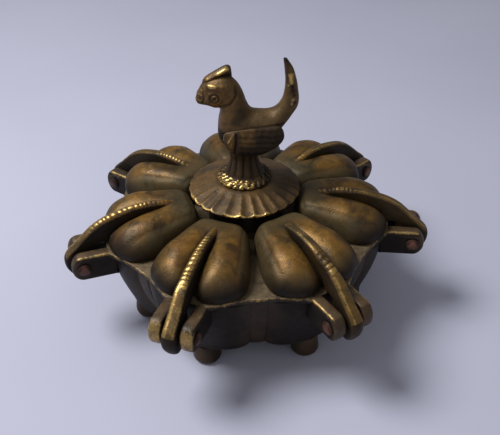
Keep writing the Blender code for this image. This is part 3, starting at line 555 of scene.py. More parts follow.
def worked_by_hand(half, finish, to_border):
    """Raises a lid's half skin along its normals by a swell near its border and slow waves, sinks
    a crease beside the swell, and darkens the crease with painted shade."""
    side_part = 1 - smoothstep(34, 38, half[..., 0])
    crease = BORDER_CREASE * hump(to_border, 2.1, 0.45) * side_part
    swell = BORDER_SWELL * hump(to_border, 1.1, 0.6) * side_part
    waves = HAND_WAVE * hand_waves(half) * smoothstep(0.3, 2.0, to_border)
    upward = normals_of(half)
    upward = upward * np.sign(upward[..., 2:3] + TINY)
    # painted shade in the crease
    finish[..., 2] = np.maximum(finish[..., 2], 2.0 * crease)
    return half + upward * (swell - crease + waves)[..., None], finish


def both_halves(half, finish):
    """A lid's whole skin: the half, a line along the middle and the half mirrored."""
    points = np.concatenate([half[:, ::-1] * (1, -1, 1), half[:, :1] * (1, 0, 1), half], 1)
    points[..., 2] += LID_BASE
    return points, np.concatenate([finish[:, ::-1], finish[:, :1], finish], 1)


def border_of(rows):
    """The border of a grid, all the way round."""
    return np.concatenate([rows[0], rows[1:-1, -1], rows[-1, ::-1], rows[-2:0:-1, 0]])


def band(rings, finish):
    """A patch of several rings with one finish along them all."""
    points = np.stack(rings)
    return grid(points, np.broadcast_to(finish, points.shape[:2] + (4,)), wrap=True)


def bridge(first, second, finish):
    """A patch between two closed loops with different numbers of points. Going round, the next
    point of the one or the other closes a triangle, in the order of their shares of the way."""
    counts = len(first), len(second)
    ends = []
    for loop in (first, second):
        run = run_along(np.vstack([loop, loop[:1]]))
        ends.append(run[1:] / run[-1])
    from_first = np.argsort(np.concatenate(ends), kind="stable") < counts[0]
    i = np.cumsum(from_first) - from_first
    j = np.cumsum(~from_first) - ~from_first
    closing = np.where(from_first, (i + 1) % counts[0], counts[0] + (j + 1) % counts[1])
    faces = np.stack([i % counts[0], closing, counts[0] + j % counts[1]], 1)
    points = np.vstack([first, second])
    return points, faces, np.broadcast_to(np.array(finish, float), (len(points), 4))


def lid_shell_patches(warmth, crown_rub_and_highlight):
    """Outer skin, inner skin, rolled edge, inner edge and flat foot of a lid."""
    half, from_spine, to_border = lid_half_skin(0.0, 96, 46)
    finish = lid_finish(half, from_spine, to_border, warmth, crown_rub_and_highlight)
    outer_skin, outer_finish = both_halves(*worked_by_hand(half, finish, to_border))
    half = lid_half_skin(LID_WALL, 30, 16)[0]
    # painted shade: the inner skin, under the lid, is darkened
    inner_skin, inner_finish = both_halves(half, finish_at(half, dark=0.8))
    outer = border_of(outer_skin)
    inner = border_of(inner_skin)
    inward = (LID_MIDDLE, 0, 0) - outer
    inward[:, 2] = 0
    inward /= np.linalg.norm(inward, axis=1, keepdims=True)
    edge = [outer]
    for drop, draw in EDGE_ROLL:
        ring = outer + inward * draw
        ring[:, 2] = np.minimum(outer[:, 2], LID_BASE + LID_EDGE - drop)
        edge.append(ring)
    foot = inner * (1, 1, 0) + (0, 0, LID_BASE)
    return [
        grid(outer_skin, outer_finish),
        grid(inner_skin, inner_finish),
        band(edge, border_of(outer_finish)),
        band([foot, inner], border_of(inner_finish)),
        # painted shade: the flat foot under the edge is black
        bridge(edge[-1], foot, (0, 0, 1, 0)),
    ]


def fin_outline():
    """The spine, fin and tail from the side, as (radius, height) points: a smooth curve over the
    crest and round the pin, and straight lines back under the spine. Each point has its share of
    the way along the crest, or OFF_CREST."""
    length = PIN_REACH - LID_INNER
    top, under = (np.array(shares) * (length, SPINE_RISE) + (LID_INNER, LID_BASE)
                  for shares in (SPINE_TOP_SHARES, SPINE_UNDER_SHARES))
    degrees, share = np.array(TAIL_SHARES).T
    turn = np.radians(degrees)
    tail = np.stack([PIN_REACH + TAIL_RADIUS * share * np.cos(turn),
                     PIN_HEIGHT + TAIL_RADIUS * share * np.sin(turn)], 1)
    upper = smooth_curve(np.vstack([top, tail]), CREST_POINTS)
    upper[:, 0] = np.minimum(upper[:, 0], PIN_REACH + TAIL_RADIUS - 0.05)
    lower = even_points(np.vstack([(PIN_REACH - TAIL_RADIUS, LID_BASE - 0.2), under]), 50)
    outline = np.vstack([upper, lower])
    on_crest = (np.arange(len(outline)) < CREST_POINTS) & (outline[:, 1] > PIN_HEIGHT + 2.0)
    return outline, np.where(on_crest, (outline[:, 0] - LID_INNER) / length, OFF_CREST)


def fin_mesh(start, end, wear, flank):
    """Spine, fin and tail: a rounded plate whose crest has slanted beads, |sin(pi * phase)|, from
    start to end, and beyond them one rubbed edge along a dull middle. The phase grows by one for
    each pitch along the crest, unevenly, and slants across it."""
    outline, share = fin_outline()
    along = share[None, :]
    on_crest = along < OFF_CREST
    roped = smoothstep(start - 0.03, start + 0.03, along) * (1 - smoothstep(end - 0.06, end + 0.04, along))
    pitches = (PIN_REACH - LID_INNER) / NOTCH_PITCH

    def bead_of(across):
        uneven = 0.35 * np.sin(13 * along + 9 * start) + 0.12 * np.sin(41 * along)
        return np.abs(np.sin(math.pi * (along * pitches + 0.22 * across + uneven)))

    def dip(across):
        depth = NOTCH_DEPTH * (0.70 + 0.30 * np.sin(23 * along + 5 * end))
        notch = depth * (1 - bead_of(across) ** 0.5) * roped
        trough = 0.10 * (1 - roped) * (1 - np.clip(np.abs(across) / 0.62, 0, 1) ** 2) * on_crest
        return notch + trough + 0.30 * roped * np.abs(across) ** 2

    points, across = pillow(outline, FIN_HALF, FIN_ROUND, 2.1, 25, dip)
    points[..., 1] *= spine_half(points[..., 0]) / FIN_HALF
    bead = bead_of(across) ** 0.6
    worn = wear * (0.30 + 0.95 * smoothstep(start + 0.05, 0.5 * (start + end) + 0.05, along))
    edge = hump(across, -0.50, 0.20) + 0.30 * hump(across, 0.72, 0.12)
    crown = 1 - smoothstep(0.35, 0.90, np.abs(across))
    plain = wear * (0.85 * edge + 0.25) * smoothstep(0.12, 0.5, along)
    rub_and_highlight = on_crest * (roped * bead * worn * crown + (1 - roped) * plain)
    rub_and_highlight = rub_and_highlight * (1 - smoothstep(0.97, 0.995, np.abs(across)))
    dust = on_crest * (1 - roped) * 0.50 * (1 - np.clip(edge, 0, 1))
    soft = (0.40 + 0.45 * smoothstep(start + 0.05, start + 0.25, along)) * (1.15 - 0.45 * wear)
    # the notches between the beads are darkened; painted shade: the fin's flat sides and its underside are
    # darkened, by each lid's flank weight
    dark = np.maximum(on_crest * roped * (1 - bead) * soft, flank * smoothstep(0.86, 1.0, np.abs(across)))
    dark = np.clip(np.maximum(dark, 0.92 * flank * (1 - on_crest)), 0, 1)
    patches = capped(points, finish_at(points, rub_and_highlight, dust, dark, 0.8 * on_crest))
    fin = boolean("fin", mesh_of("fin", patches), cuts=[hole_mesh("bore", -4.0, 4.0, 40, ON_PIN)])
    place = read(fin.vertices, "co", 3) / MM
    finish = read(fin.attributes[FINISH].data, "color", 4)
    # painted shade: the bore round the pin is black
    finish[np.hypot(place[:, 0] - PIN_REACH, place[:, 2] - PIN_HEIGHT) < HOLE + 0.2] = (0, 0, 1, 0)
    write_finish(fin, finish)
    return fin


# Tray

def wall_radius(share, swell):
    """The wall's radius by the share of the way to the next petal: an arch over each lobe, from
    valley to lobe, a groove and a flat pilaster in each valley. swell leans it outwards."""
    lobe = WALL_FOOT + WALL_LEAN * swell
    valley = VALLEY_FOOT + VALLEY_LEAN * swell
    radius = valley - GROOVE + (lobe - valley + GROOVE) * arch(np.minimum(share / GROOVE_SHARE, 1), 2)
    return radius + (valley + GROOVE - radius) * smoothstep(*PILASTER_EDGE, share)


def rim_radius(share, half_turn):
    """The deck's rim: flat across the hinge slot, then a slightly bowed line to the valley, where
    a small tooth stands out. The line is where the ray at a turn meets the line through corner
    and valley: (corner x edge) / (ray x edge), as cross products."""
    turn = share * half_turn
    edge_x = RIM_VALLEY * np.cos(half_turn) - RIM_FLAT
    edge_y = RIM_VALLEY * np.sin(half_turn) - RIM_CORNER
    straight = (RIM_FLAT * edge_y - RIM_CORNER * edge_x) / (np.cos(turn) * edge_y - np.sin(turn) * edge_x)
    bow = 0.35 * np.sin(np.clip((share - 0.3) / 0.7, 0, 1) * math.pi)
    tooth = 0.22 * hump(share, 1.0, 0.035)
    at_slot = turn <= math.atan2(RIM_CORNER, RIM_FLAT)
    return np.where(at_slot, RIM_FLAT / np.cos(turn), straight - bow) + tooth


def tray_columns():
    """Turn of each column round the tray, its share of the way to the next petal, and half the
    turn between the two petals there."""
    even = np.linspace(-1, 1, 65)[:-1]
    steps = 0.5 * np.sin(even * math.pi / 2) + 0.5 * even
    turns, halves = [], []
    for number, turn in enumerate(TURNS):
        before = (turn - TURNS[number - 1]) % math.tau / 2
        after = (TURNS[(number + 1) % PETALS] - turn) % math.tau / 2
        halves.append(np.where(steps < 0, before, after))
        turns.append(turn + steps * halves[-1])
    return np.concatenate(turns), np.abs(np.tile(steps, PETALS)), np.concatenate(halves)


def tray_block():
    """The tray before it is hollowed, as rows of radii and heights: flat underside, foot rounded
    by a quarter circle, lobed wall that swells by sin(level * pi / 2), and the deck's round lip."""
    turn, share, half = tray_columns()
    rows = [(FLAT_REACH + 0 * share, 0.0)]
    for k in np.linspace(0, math.pi / 2, 9):
        drawn = WALL_ROUND * (1 - math.sin(k))
        rows.append((wall_radius(share, 0) - drawn, UNDERSIDE_RISE + WALL_ROUND * (1 - math.cos(k))))
    low = UNDERSIDE_RISE + WALL_ROUND
    for level in np.linspace(0, 1, 26)[1:]:
        swell = math.sin(level * math.pi / 2)
        rows.append((wall_radius(share, swell), low + level * (UNDER_DECK - low)))
    rim = rim_radius(share, half)
    rows.append((rim - RIM_ROUND, UNDER_DECK))
    for k in np.linspace(0, 1, 4):
        rows.append((rim - 0.3 * (1 - k), UNDER_DECK + 0.3 * k))
    for k in np.linspace(0, math.pi / 2, 5):
        rows.append((rim - RIM_ROUND * (1 - math.cos(k)), DECK - RIM_ROUND * (1 - math.sin(k))))
    radius = np.array([row[0] for row in rows])
    height = np.array([row[1] for row in rows])[:, None] + 0 * radius
    points = np.stack([radius * np.cos(turn), radius * np.sin(turn), height], -1)
    return mesh_of("tray_block", capped(points, finish_at(points)))


def compartment_mesh():
    """One compartment: a lid's outline, closed by arches at both ends, at heights with drafts from
    0 at the mouth to 1 at the floor, whose corner is a quarter circle."""
    below = DECK - 0.25
    levels = [(DECK + 1.0, 0.0), (DECK, 0.0), (below, 0.05)]
    levels += [(below - (below - FLOOR - FLOOR_ROUND) * k, 0.05 + 0.85 * k) for k in np.linspace(0.1, 1, 8)]
    levels += [(FLOOR + FLOOR_ROUND * (1 - math.sin(k)), 0.9 + 0.1 * (1 - math.cos(k)))
               for k in np.linspace(0.2, math.pi / 2, 5)]
    waves = (1 - np.cos(math.pi * np.linspace(0, 1, 40))) / 2
    rings = []
    for height, draft in levels:
        inset = MOUTH_INSET + FLOOR_INSET * draft
        outer = MOUTH_OUTER + (FLOOR_OUTER - MOUTH_OUTER) * draft
        inner = LID_INNER + inset
        radius = inner + (outer - inner) * waves
        outwards = np.clip(1 - (outer - radius) / LID_END, 0, 1)
        inwards = np.clip((inner + MOUTH_CORNER - radius) / MOUTH_CORNER, 0, 1)
        width = lid_half_width(radius, inset) * arch(outwards, 2) * arch(inwards, 3)
        near = np.stack([radius, width, 0 * radius + height], 1)
        rings.append(np.vstack([near, near[-2:0:-1] * (1, -1, 1)]))
    points = np.stack(rings)
    return mesh_of("compartment", capped(points, finish_at(points)))


def ear_mesh():
    """A hinge ear: a bar with a round nose, an ellipse about the pin, its edges rounded."""
    turn = np.linspace(math.pi / 2, -math.pi / 2, 25)
    half = np.where(turn > 0, DECK - PIN_HEIGHT, EAR_DROP)
    nose = np.stack([PIN_REACH + EAR_NOSE * np.cos(turn) ** 0.9, PIN_HEIGHT + half * np.sin(turn)], 1)
    low = PIN_HEIGHT - EAR_DROP
    along = np.linspace(EAR_ROOT, PIN_REACH, 14)[:-1]
    up = np.linspace(low, DECK, 7)[1:-1]
    top = np.stack([along, 0 * along + DECK], 1)
    under = np.stack([along[::-1], 0 * along + low], 1)
    back = np.stack([0 * up + EAR_ROOT, up], 1)
    points, share = pillow(np.vstack([top, nose, under, back]), EAR_HALF, 0.62, 2.8, 17)
    return mesh_of("ear", capped(points, finish_at(points)))


def threaded_mesh(name, below, mean, bottom, rows, above, side, segments, rub_and_highlight=0.0):
    """A turned solid with a right-handed thread from its bottom to THREAD_TOP: the mean radius plus
    half depth * (depth * cos(turn - tau * height / pitch) + side * (1 - depth)). The depth falls
    from 1 to 0 at both ends, so that the thread runs out to its inner or outer side, -1 or 1."""
    heights = np.linspace(bottom, THREAD_TOP, rows)
    fade = np.clip(np.minimum(heights - bottom, THREAD_TOP - heights) / THREAD_FADE, 0, 1)

    def reach(radius, height, turn):
        threaded = (height >= bottom) & (height <= THREAD_TOP)
        depth = np.interp(height, heights, fade) * threaded
        wave = depth * np.cos(turn - math.tau * height / THREAD_PITCH)
        return radius + THREAD_HALF_DEPTH * (wave + side * (threaded - depth)), height

    profile = below + [(mean, height) for height in heights] + above
    return turned_mesh(name, profile, segments, lambda points: finish_at(points, rub_and_highlight), reach)


def hub_bore_mesh():
    """The hub's threaded bore, wider above for the stem's flange."""
    below = [(BORE_MEAN + THREAD_HALF_DEPTH, 22.3)]
    above = [(FLANGE_BORE, FLANGE_FOOT - 0.15), (FLANGE_BORE, HUB_TOP + 1)]
    return threaded_mesh("hub_bore", below, BORE_MEAN, 22.6, 76, above, 1, 48)


def stem_mesh():
    """The threaded stem, with a flange under the collar and a plain shank above."""
    edge = 0.15
    below = [(0.0, STEM_FOOT), (SHANK - 0.1, STEM_FOOT), (SHANK, STEM_FOOT + 0.1)]
    above = [(FLANGE - edge, FLANGE_FOOT), (FLANGE, FLANGE_FOOT + edge), (FLANGE, HUB_TOP - edge),
             (FLANGE - edge, HUB_TOP), (SHANK, HUB_TOP), (SHANK, STEM_TOP - 0.1),
             (SHANK - 0.2, STEM_TOP), (0.0, STEM_TOP)]
    return threaded_mesh("stem", below, STEM_MEAN, STEM_FOOT + 0.3, 72, above, -1, 60, 0.5)


def body_finish(mesh):
    """Finish of the tray from where each vertex is: walls and every face that doesn't look up
    darkened with painted shade, a warm brown deck, a rubbed rim, dusty ear tops with worn outer
    edges and noses."""
    place = read(mesh.vertices, "co", 3) / MM
    z = place[:, 2]
    radius, heading = polar(place)
    away = (heading[:, None] - np.array(TURNS)[None, :] + math.pi) % math.tau - math.pi
    nearest = np.abs(away).argmin(1)
    turn = away[np.arange(len(place)), nearest]
    out = radius * np.cos(turn)
    across = np.abs(radius * np.sin(turn))
    is_ear = (out > RIM_FLAT - 0.2) & (across < EAR_REACH)
    nose = smoothstep(50.5, 53.0, out) * is_ear
    outer_edge = is_ear * smoothstep(5.1, 5.9, across) * smoothstep(DECK - 1.0, DECK - 0.3, z)
    deck_top = smoothstep(0.6, 0.95, read(mesh.vertices, "normal", 3)[:, 2]) * (z > DECK - 0.5)
    rim = (z > DECK - 0.55) * (z < DECK - 0.02) * (radius > 34) * (across > EAR_REACH)
    valley = smoothstep(0.55, 0.9, np.abs(turn) / HALF_TURN)
    front_left = nearest == 0
    nose_rub = np.where(front_left, 0.62, 0.16) * nose * (z > PIN_HEIGHT - 2)
    rub_and_highlight = np.maximum.reduce([nose_rub, np.where(front_left, 0.30, 0.62) * outer_edge, 0.42 * rim])
    dust = np.maximum(0.18 * is_ear * deck_top * (1 - nose), 0.95 * deck_top * (1 - is_ear))
    pilaster = 0.65 * valley * (radius > 30) * (z > 2) * (z < UNDER_DECK)
    warm = np.maximum.reduce([deck_top * 0.75, pilaster, 0.6 * nose])
    # painted shade: all but the deck's top is darkened, less on the ears, the pilasters and the noses
    dark = np.clip(1 - deck_top + 0.20 * is_ear * deck_top - 0.30 * valley - 0.7 * nose, 0, 1)
    write_finish(mesh, finish_at(place, rub_and_highlight, dust, np.clip(dark * (1 - rub_and_highlight), 0, 1), warm))


def body_mesh():
    """The tray: block, hub and ears united, then compartments, bores and holes cut out."""
    hub_profile = rounded_profile([(11.6, DECK - 1, 0), (11.0, DECK + 0.2, 0.5), (8.8, HUB_TOP, 0.4),
                                   (8.0, HUB_TOP, 0)])
    additions = [turned_mesh("hub", hub_profile, 96)]
    for side in (1, -1):
        ear = moved(ear_mesh(), Matrix.Translation((0, side * EAR_OFFSET * MM, 0)))
        additions.append(copies("ears", ear, PLACES))
    cuts = [
        copies("compartments", compartment_mesh(), PLACES),
        copies("pin_holes", hole_mesh("pin_hole", -7.2, 7.2, 40, ON_PIN), PLACES),
        copies("foot_holes", hole_mesh("foot_hole", -1, 3, 24, ON_FOOT), PLACES),
        hub_bore_mesh(),
    ]
    body = boolean("tray", tray_block(), additions, cuts)
    body_finish(body)
    return smooth(body, 32)


# Pins and feet

def pin_mesh():
    """A rivet, slightly lumpy, its ends peened into low domes: radius sin(k) ** 0.8 and rise
    cos(k) ** 1.2."""
    dome = [(HEAD_RADIUS * math.sin(k) ** 0.8, PIN_HALF + HEAD_RISE * math.cos(k) ** 1.2)
            for k in np.linspace(0, 1.45, 9)]
    under_head = HEAD_RADIUS - 0.05
    profile = [(radius, -height) for radius, height in dome]
    profile += [(under_head, -PIN_HALF), (PIN_RADIUS, -PIN_HALF), (PIN_RADIUS, PIN_HALF),
                (under_head, PIN_HALF)] + dome[::-1]

    def reach(radius, height, turn):
        return radius * (1 + 0.03 * np.sin(3 * turn + 1) + 0.02 * np.sin(5 * turn + 2 * height)), height

    def finish_of(points):
        radius, turn = polar(points)
        head = np.abs(points[..., 2]) > PIN_HALF
        spotted = 0.85 * smoothstep(0.9, 1.7, radius + 0.25 * np.sin(3 * turn))
        return finish_at(points, 0.25 * hump(radius, 0.6, 0.4) * head, 0, np.where(head, spotted, 0.9))

    return moved(turned_mesh("pin", profile, 36, finish_of, reach), ON_PIN)


def foot_mesh():
    """A short round knob of a foot, not quite round, with a tenon that stands in the floor."""
    profile = rounded_profile([
        (0.0, SOLE, 0), (FOOT_RADIUS, SOLE, 1.9), (FOOT_RADIUS, -3.6, 1.6), (3.4, -GAP, 0.4),
        (TENON_RADIUS, -GAP, 0), (TENON_RADIUS, FLOOR, 0.1), (0.0, FLOOR, 0),
    ], 7)

    def reach(radius, height, turn):
        uneven = 0.010 * np.sin(2 * turn + height) + 0.008 * np.sin(3 * turn - 0.7 * height)
        return radius * (1 + uneven), height

    def finish_of(points):
        return finish_at(points, 0.30 * smoothstep(-5.6, -6.7, points[..., 2]), 0, 0.45, 0.6)

    return moved(turned_mesh("foot", profile, 48, finish_of, reach), ON_FOOT)


# Collar

def flute_turn(turn):
    """The turn as the flutes are spaced, by hand and not quite evenly."""
    return turn + 0.035 * np.sin(2 * turn + 0.7) + 0.022 * np.sin(5 * turn)


def cut_of(turn):
    """How deep the flutes are: worn away on the left and at the back."""
    return 0.12 + 0.88 * smoothstep(-0.35, 0.45, np.cos(turn + 1.15))


def collar_mesh():
    """The collar: a turned ring whose top has flutes, hollows of |sin(13 * turn)| between thin
    ridges that deepen outwards, and a scalloped rim."""
    top = COLLAR_SEAT + COLLAR_RISE
    rim = top - COLLAR_DROOP
    profile = [(COLLAR_BORE, COLLAR_SEAT), (COLLAR_BORE, top), (FLUTE_START - 0.2, top)]
    profile += [(FLUTE_START + (COLLAR_REACH - FLUTE_START) * s, top - COLLAR_DROOP * s ** 1.15)
                for s in np.linspace(0, 1, 30)]
    profile += [(COLLAR_REACH - draw, rim - drop) for draw, drop in COLLAR_EDGE]
    profile += [(12.5, COLLAR_SEAT + 0.05), (9.8, COLLAR_SEAT)]

    def reach(radius, height, turn):
        share = np.clip((radius - FLUTE_START) / (COLLAR_REACH - FLUTE_START), 0, 1)
        hollow = np.abs(np.sin(FLUTES / 2 * flute_turn(turn)))
        dip = FLUTE_DEPTH * hollow ** 0.8 * smoothstep(0.0, 0.30, share) * (0.4 + 0.6 * share) * cut_of(turn)
        on_top = height > rim - 0.1
        ripple = 0.5 + 0.5 * np.sin(3.7 * turn) ** 2
        scallop = SCALLOP * (1 - hollow ** 0.9) * smoothstep(0.85, 1.0, share) * ripple
        return radius - scallop, height - dip * on_top - 0.20 * hollow * (share > 0.98) * ~on_top

    points = turned(profile, 12 * FLUTES, reach)
    radius, turn = polar(points)
    ridge = 1 - np.abs(np.sin(FLUTES / 2 * flute_turn(turn))) ** 0.5
    above = points[..., 2] > rim - 0.75
    # partly wear, partly painted highlight: the ridges and the rim are bright towards the front left, where
    # the key lamp catches them
    front_left = smoothstep(0.1, 0.95, np.cos(turn + 2.0))
    patchy = 0.55 + 0.45 * np.sin(9 * turn + 1) * np.sin(4 * turn)
    rub_and_highlight = 0.85 * ridge * smoothstep(10, 15.5, radius) * above * front_left * cut_of(turn) * patchy
    rub_and_highlight = rub_and_highlight + smoothstep(15.5, 16.1, radius) * above * (0.06 + 0.95 * front_left * patchy)
    # painted shade: one side of each flute, the collar's right and back, its inner part under the tier and
    # its underside are darkened
    side = np.sin(FLUTES * flute_turn(turn)) * cut_of(turn) * smoothstep(9, 12, radius)
    dark = 0.42 * smoothstep(-0.3, 0.9, np.cos(turn - 0.5)) + 0.50 * np.clip(side, 0, 1) + 0.10
    dark = np.maximum(0.35 * (1 - smoothstep(8.2, 9.6, radius)), dark)
    dark = np.where(above, dark, 1.0)
    finish = finish_at(points, np.clip(rub_and_highlight, 0, 1), 0.30 * above, np.clip(dark, 0, 1), 0.85)
    ring, ring_finish = (np.vstack([rows, rows[:1]]) for rows in (points, finish))
    return mesh_of("collar", [grid(ring, ring_finish, wrap=True)], 50)


# Knob

def notch_of(radius, turn):
    """0 in the chiselled notches of the knob's tier, 1 between them: slanted, unevenly cut."""
    slant = turn + 0.13 * (radius - 6.0) + 0.05 * np.sin(7 * turn) + 0.03 * np.sin(11 * turn + 2 * radius)
    chips = np.sin(17 * turn + 4.6 * radius) * np.sin(9 * turn - 3.8 * radius + 1)
    return np.clip(np.abs(np.sin(TIER_NOTCHES / 2 * slant)) ** 0.6 - 0.75 * np.clip(1.6 * chips, 0, 1), 0, 1)


def flute_of(turn):
    """0 in the post's flutes, 1 between them: |sin(6 * turn)|."""
    return np.abs(np.sin(POST_FLUTES / 2 * turn + 0.3))


def post_mesh():
    """The knob's notched tier and fluted post, turned and bored for the stem."""
    profile = even_points(rounded_profile([
        (2.45, TIER_SEAT + 4.4, 0), (2.45, TIER_SEAT, 0), (7.5, TIER_SEAT, 0.1),
        (7.95, TIER_SEAT + 0.15, 0.1), (TIER_REACH, TIER_SEAT + 0.75, 0.25),
        (7.2, TIER_SEAT + 1.35, 0.3), (5.5, POST_FOOT + 0.1, 0.2), (5.2, POST_FOOT + 1.0, 0.6),
        (4.3, POST_FOOT + 3.4, 1.0), (4.0, POST_FOOT + 5.4, 0.6), (4.5, POST_FOOT + 8.0, 0.5),
        (4.7, POST_FOOT + 9.4, 0),
    ], 7), 120)

    def reach(radius, height, turn):
        cut = TIER_CUT * (1 - notch_of(radius, turn))
        on_tier = smoothstep(5.4, 6.0, radius) * (height > TIER_SEAT + 0.3)
        on_post = smoothstep(POST_FOOT - 0.2, POST_FOOT + 0.8, height) * (radius > 3)
        on_post = on_post * (1 - smoothstep(POST_FOOT + 6, POST_FOOT + 7, height))
        drawn = cut * smoothstep(7.2, 7.9, radius) + POST_CUT * (1 - flute_of(turn) ** 0.7) * on_post
        return radius - drawn, height - cut * on_tier

    def finish_of(points):
        radius, turn = polar(points)
        notch = notch_of(radius, turn)
        on_tier = smoothstep(5.3, 5.9, radius) * (points[..., 2] > TIER_SEAT + 0.2)
        # partly wear, partly painted highlight: the tier's notched ridges are bright towards the front left,
        # where the key lamp catches them
        front_left = smoothstep(0.35, 0.85, np.cos(turn + 2.15))
        rub_and_highlight = np.clip(on_tier * notch ** 1.5 * (0.10 + 1.1 * front_left), 0, 1)
        # painted shade: the tier's notches and its side away from the front left are darkened, and the post
        # under the bird is near black, a little lighter on its flutes' ridges
        tier_dark_and_shade = np.maximum(1 - notch, 0.35 * (1 - front_left))
        dark = np.where(radius > 5.6, tier_dark_and_shade, 0.97 - 0.30 * flute_of(turn))
        return finish_at(points, rub_and_highlight, 0, np.clip(dark, 0, 1), 0.5)

    return turned_mesh("post", profile, 256, finish_of, reach, 50)


# Bird, drawn in shares of its length from its middle and of its height from its belly

# From beak to tail tip: a point on the back, one on the belly, and a share of the half width
BIRD_SECTION_SHARES = (
    (-0.463, 0.565, -0.458, 0.538, 0.10), (-0.444, 0.615, -0.432, 0.512, 0.30),
    (-0.390, 0.710, -0.350, 0.497, 0.54), (-0.285, 0.775, -0.282, 0.473, 0.70),
    (-0.150, 0.790, -0.230, 0.468, 0.71), (-0.070, 0.735, -0.230, 0.425, 0.70),
    (-0.008, 0.640, -0.250, 0.315, 0.77), (0.034, 0.522, -0.246, 0.150, 0.90),
    (0.085, 0.442, -0.120, 0.018, 1.0), (0.190, 0.427, 0.110, 0.010, 0.98),
    (0.280, 0.437, 0.270, 0.090, 0.84), (0.338, 0.478, 0.375, 0.235, 0.62),
    (0.383, 0.550, 0.478, 0.375, 0.50), (0.404, 0.640, 0.543, 0.500, 0.44),
    (0.410, 0.755, 0.532, 0.680, 0.36), (0.399, 0.860, 0.490, 0.840, 0.30),
    (0.390, 0.942, 0.430, 0.938, 0.17),
)
CREST_SHARES = (
    (-0.392, 0.680), (-0.386, 0.735), (-0.352, 0.780), (-0.236, 0.850), (-0.160, 0.888), (-0.126, 0.888),
    (-0.108, 0.862), (-0.100, 0.764), (-0.112, 0.700), (-0.200, 0.690), (-0.300, 0.690),
)
WING_SHARES = (
    (-0.205, 0.190), (-0.187, 0.262), (-0.111, 0.292), (0.010, 0.310), (0.182, 0.322), (0.357, 0.325),
    (0.402, 0.221), (0.360, 0.138), (0.261, 0.067), (0.138, 0.020), (-0.040, 0.015), (-0.158, 0.086),
)
EYE_SHARES = (-0.271, 0.606)
NOSTRIL_SHARES = (-0.412, 0.598)
# Painted highlights and dark holes of the tail: their place and width
TAIL_PAINTED_HIGHLIGHTS = (
    (0.462, 0.800, 0.75), (0.464, 0.765, 0.70), (0.468, 0.725, 0.70), (0.484, 0.562, 0.65),
    (0.470, 0.520, 0.45), (0.440, 0.700, 0.35),
)
TAIL_HOLES = ((0.487, 0.645, 0.85), (0.480, 0.690, 0.55), (0.500, 0.600, 0.45), (0.505, 0.530, 0.45))
# Rings round places of the bird's sides: the place, then radius, width, rise, darkness and rub;
# the tail's bright spots use the rub to paint highlights
RINGS = (
    (EYE_SHARES, 0.80, 0.20, 0.22, 0.0, 0.10), (EYE_SHARES, 1.22, 0.22, -0.26, 0.80, 0.0),
    (EYE_SHARES, 1.78, 0.30, 0.12, 0.0, 0.0), (EYE_SHARES, 0.0, 0.42, -0.20, 1.0, 0.0),
    (NOSTRIL_SHARES, 0.85, 0.22, 0.26, 0.0, 0.0), (NOSTRIL_SHARES, 0.0, 0.55, 0.0, 0.9, 0.0),
    *(((along, up), 0.0, width, 0.10, 0.0, 0.80) for along, up, width in TAIL_PAINTED_HIGHLIGHTS),
    *(((along, up), 0.0, width, -0.32, 1.0, 0.0) for along, up, width in TAIL_HOLES),
)
# Strokes: brow, its glint, which is a painted highlight, under the brow, darkened with painted
# shade, mouth, face, cheek, mane, and the line over the wing. Each is its places, then width,
# rise, darkness and rub.
STROKES = (
    (((-0.335, 0.722), (-0.190, 0.716)), 0.50, 0.34, 0.0, 0.22),
    (((-0.310, 0.716), (-0.262, 0.716)), 0.42, 0.0, 0.0, 0.90),
    (((-0.340, 0.672), (-0.200, 0.668)), 0.32, -0.16, 0.30, 0.0),
    (((-0.452, 0.552), (-0.385, 0.548)), 0.20, -0.22, 0.8, 0.0),
    (((-0.385, 0.685), (-0.372, 0.620), (-0.385, 0.560)), 0.28, -0.20, 0.55, 0.0),
    (((-0.215, 0.510), (-0.119, 0.556), (-0.060, 0.627), (-0.066, 0.700)), 0.42, -0.26, 0.65, 0.0),
    (((-0.030, 0.660), (0.018, 0.585), (0.036, 0.500), (0.010, 0.400)), 0.85, -0.12, 0.40, 0.0),
    (((-0.200, 0.235), (-0.173, 0.257), (-0.093, 0.280), (0.009, 0.303), (0.167, 0.319), (0.390, 0.321)),
     0.30, -0.20, 0.9, 0.0),
)


def bird_place(along, up):
    """A place in the bird's side view, in millimetres, from shares of its length and height."""
    return np.stack([np.asarray(along) * BIRD_LENGTH, np.asarray(up) * BIRD_HEIGHT + BELLY], -1)


def stroke(place, shares, width):
    """A bell across a bent line of the side view: exp(-(distance to its nearest part / width) ** 2)."""
    bells = []
    for start, end in zip(shares[:-1], shares[1:]):
        start, end = bird_place(*start), bird_place(*end)
        run = end - start
        share = np.clip(((place - start) @ run) / (run @ run), 0, 1)
        bells.append(hump(np.linalg.norm(place - start - share[..., None] * run, axis=-1), 0, width))
    return np.maximum.reduce(bells)


def smooth_outline(shares, count):
    """A smooth closed outline through places of the side view."""
    return smooth_curve(bird_place(*np.array(shares + shares[:1]).T), count)[:-1]


def bird_marks(place):
    """How far the face's and tail's marks rise, and how dark and rubbed they are, with painted
    highlights and painted shade among them: the sums of their bells, each times its weights."""
    marks = [(hump(np.linalg.norm(place - bird_place(*centre), axis=-1), radius, width), weights)
             for centre, radius, width, *weights in RINGS]
    marks += [(stroke(place, shares, width), weights) for shares, width, *weights in STROKES]
    return [sum(weights[part] * bell for bell, weights in marks) for part in range(3)]


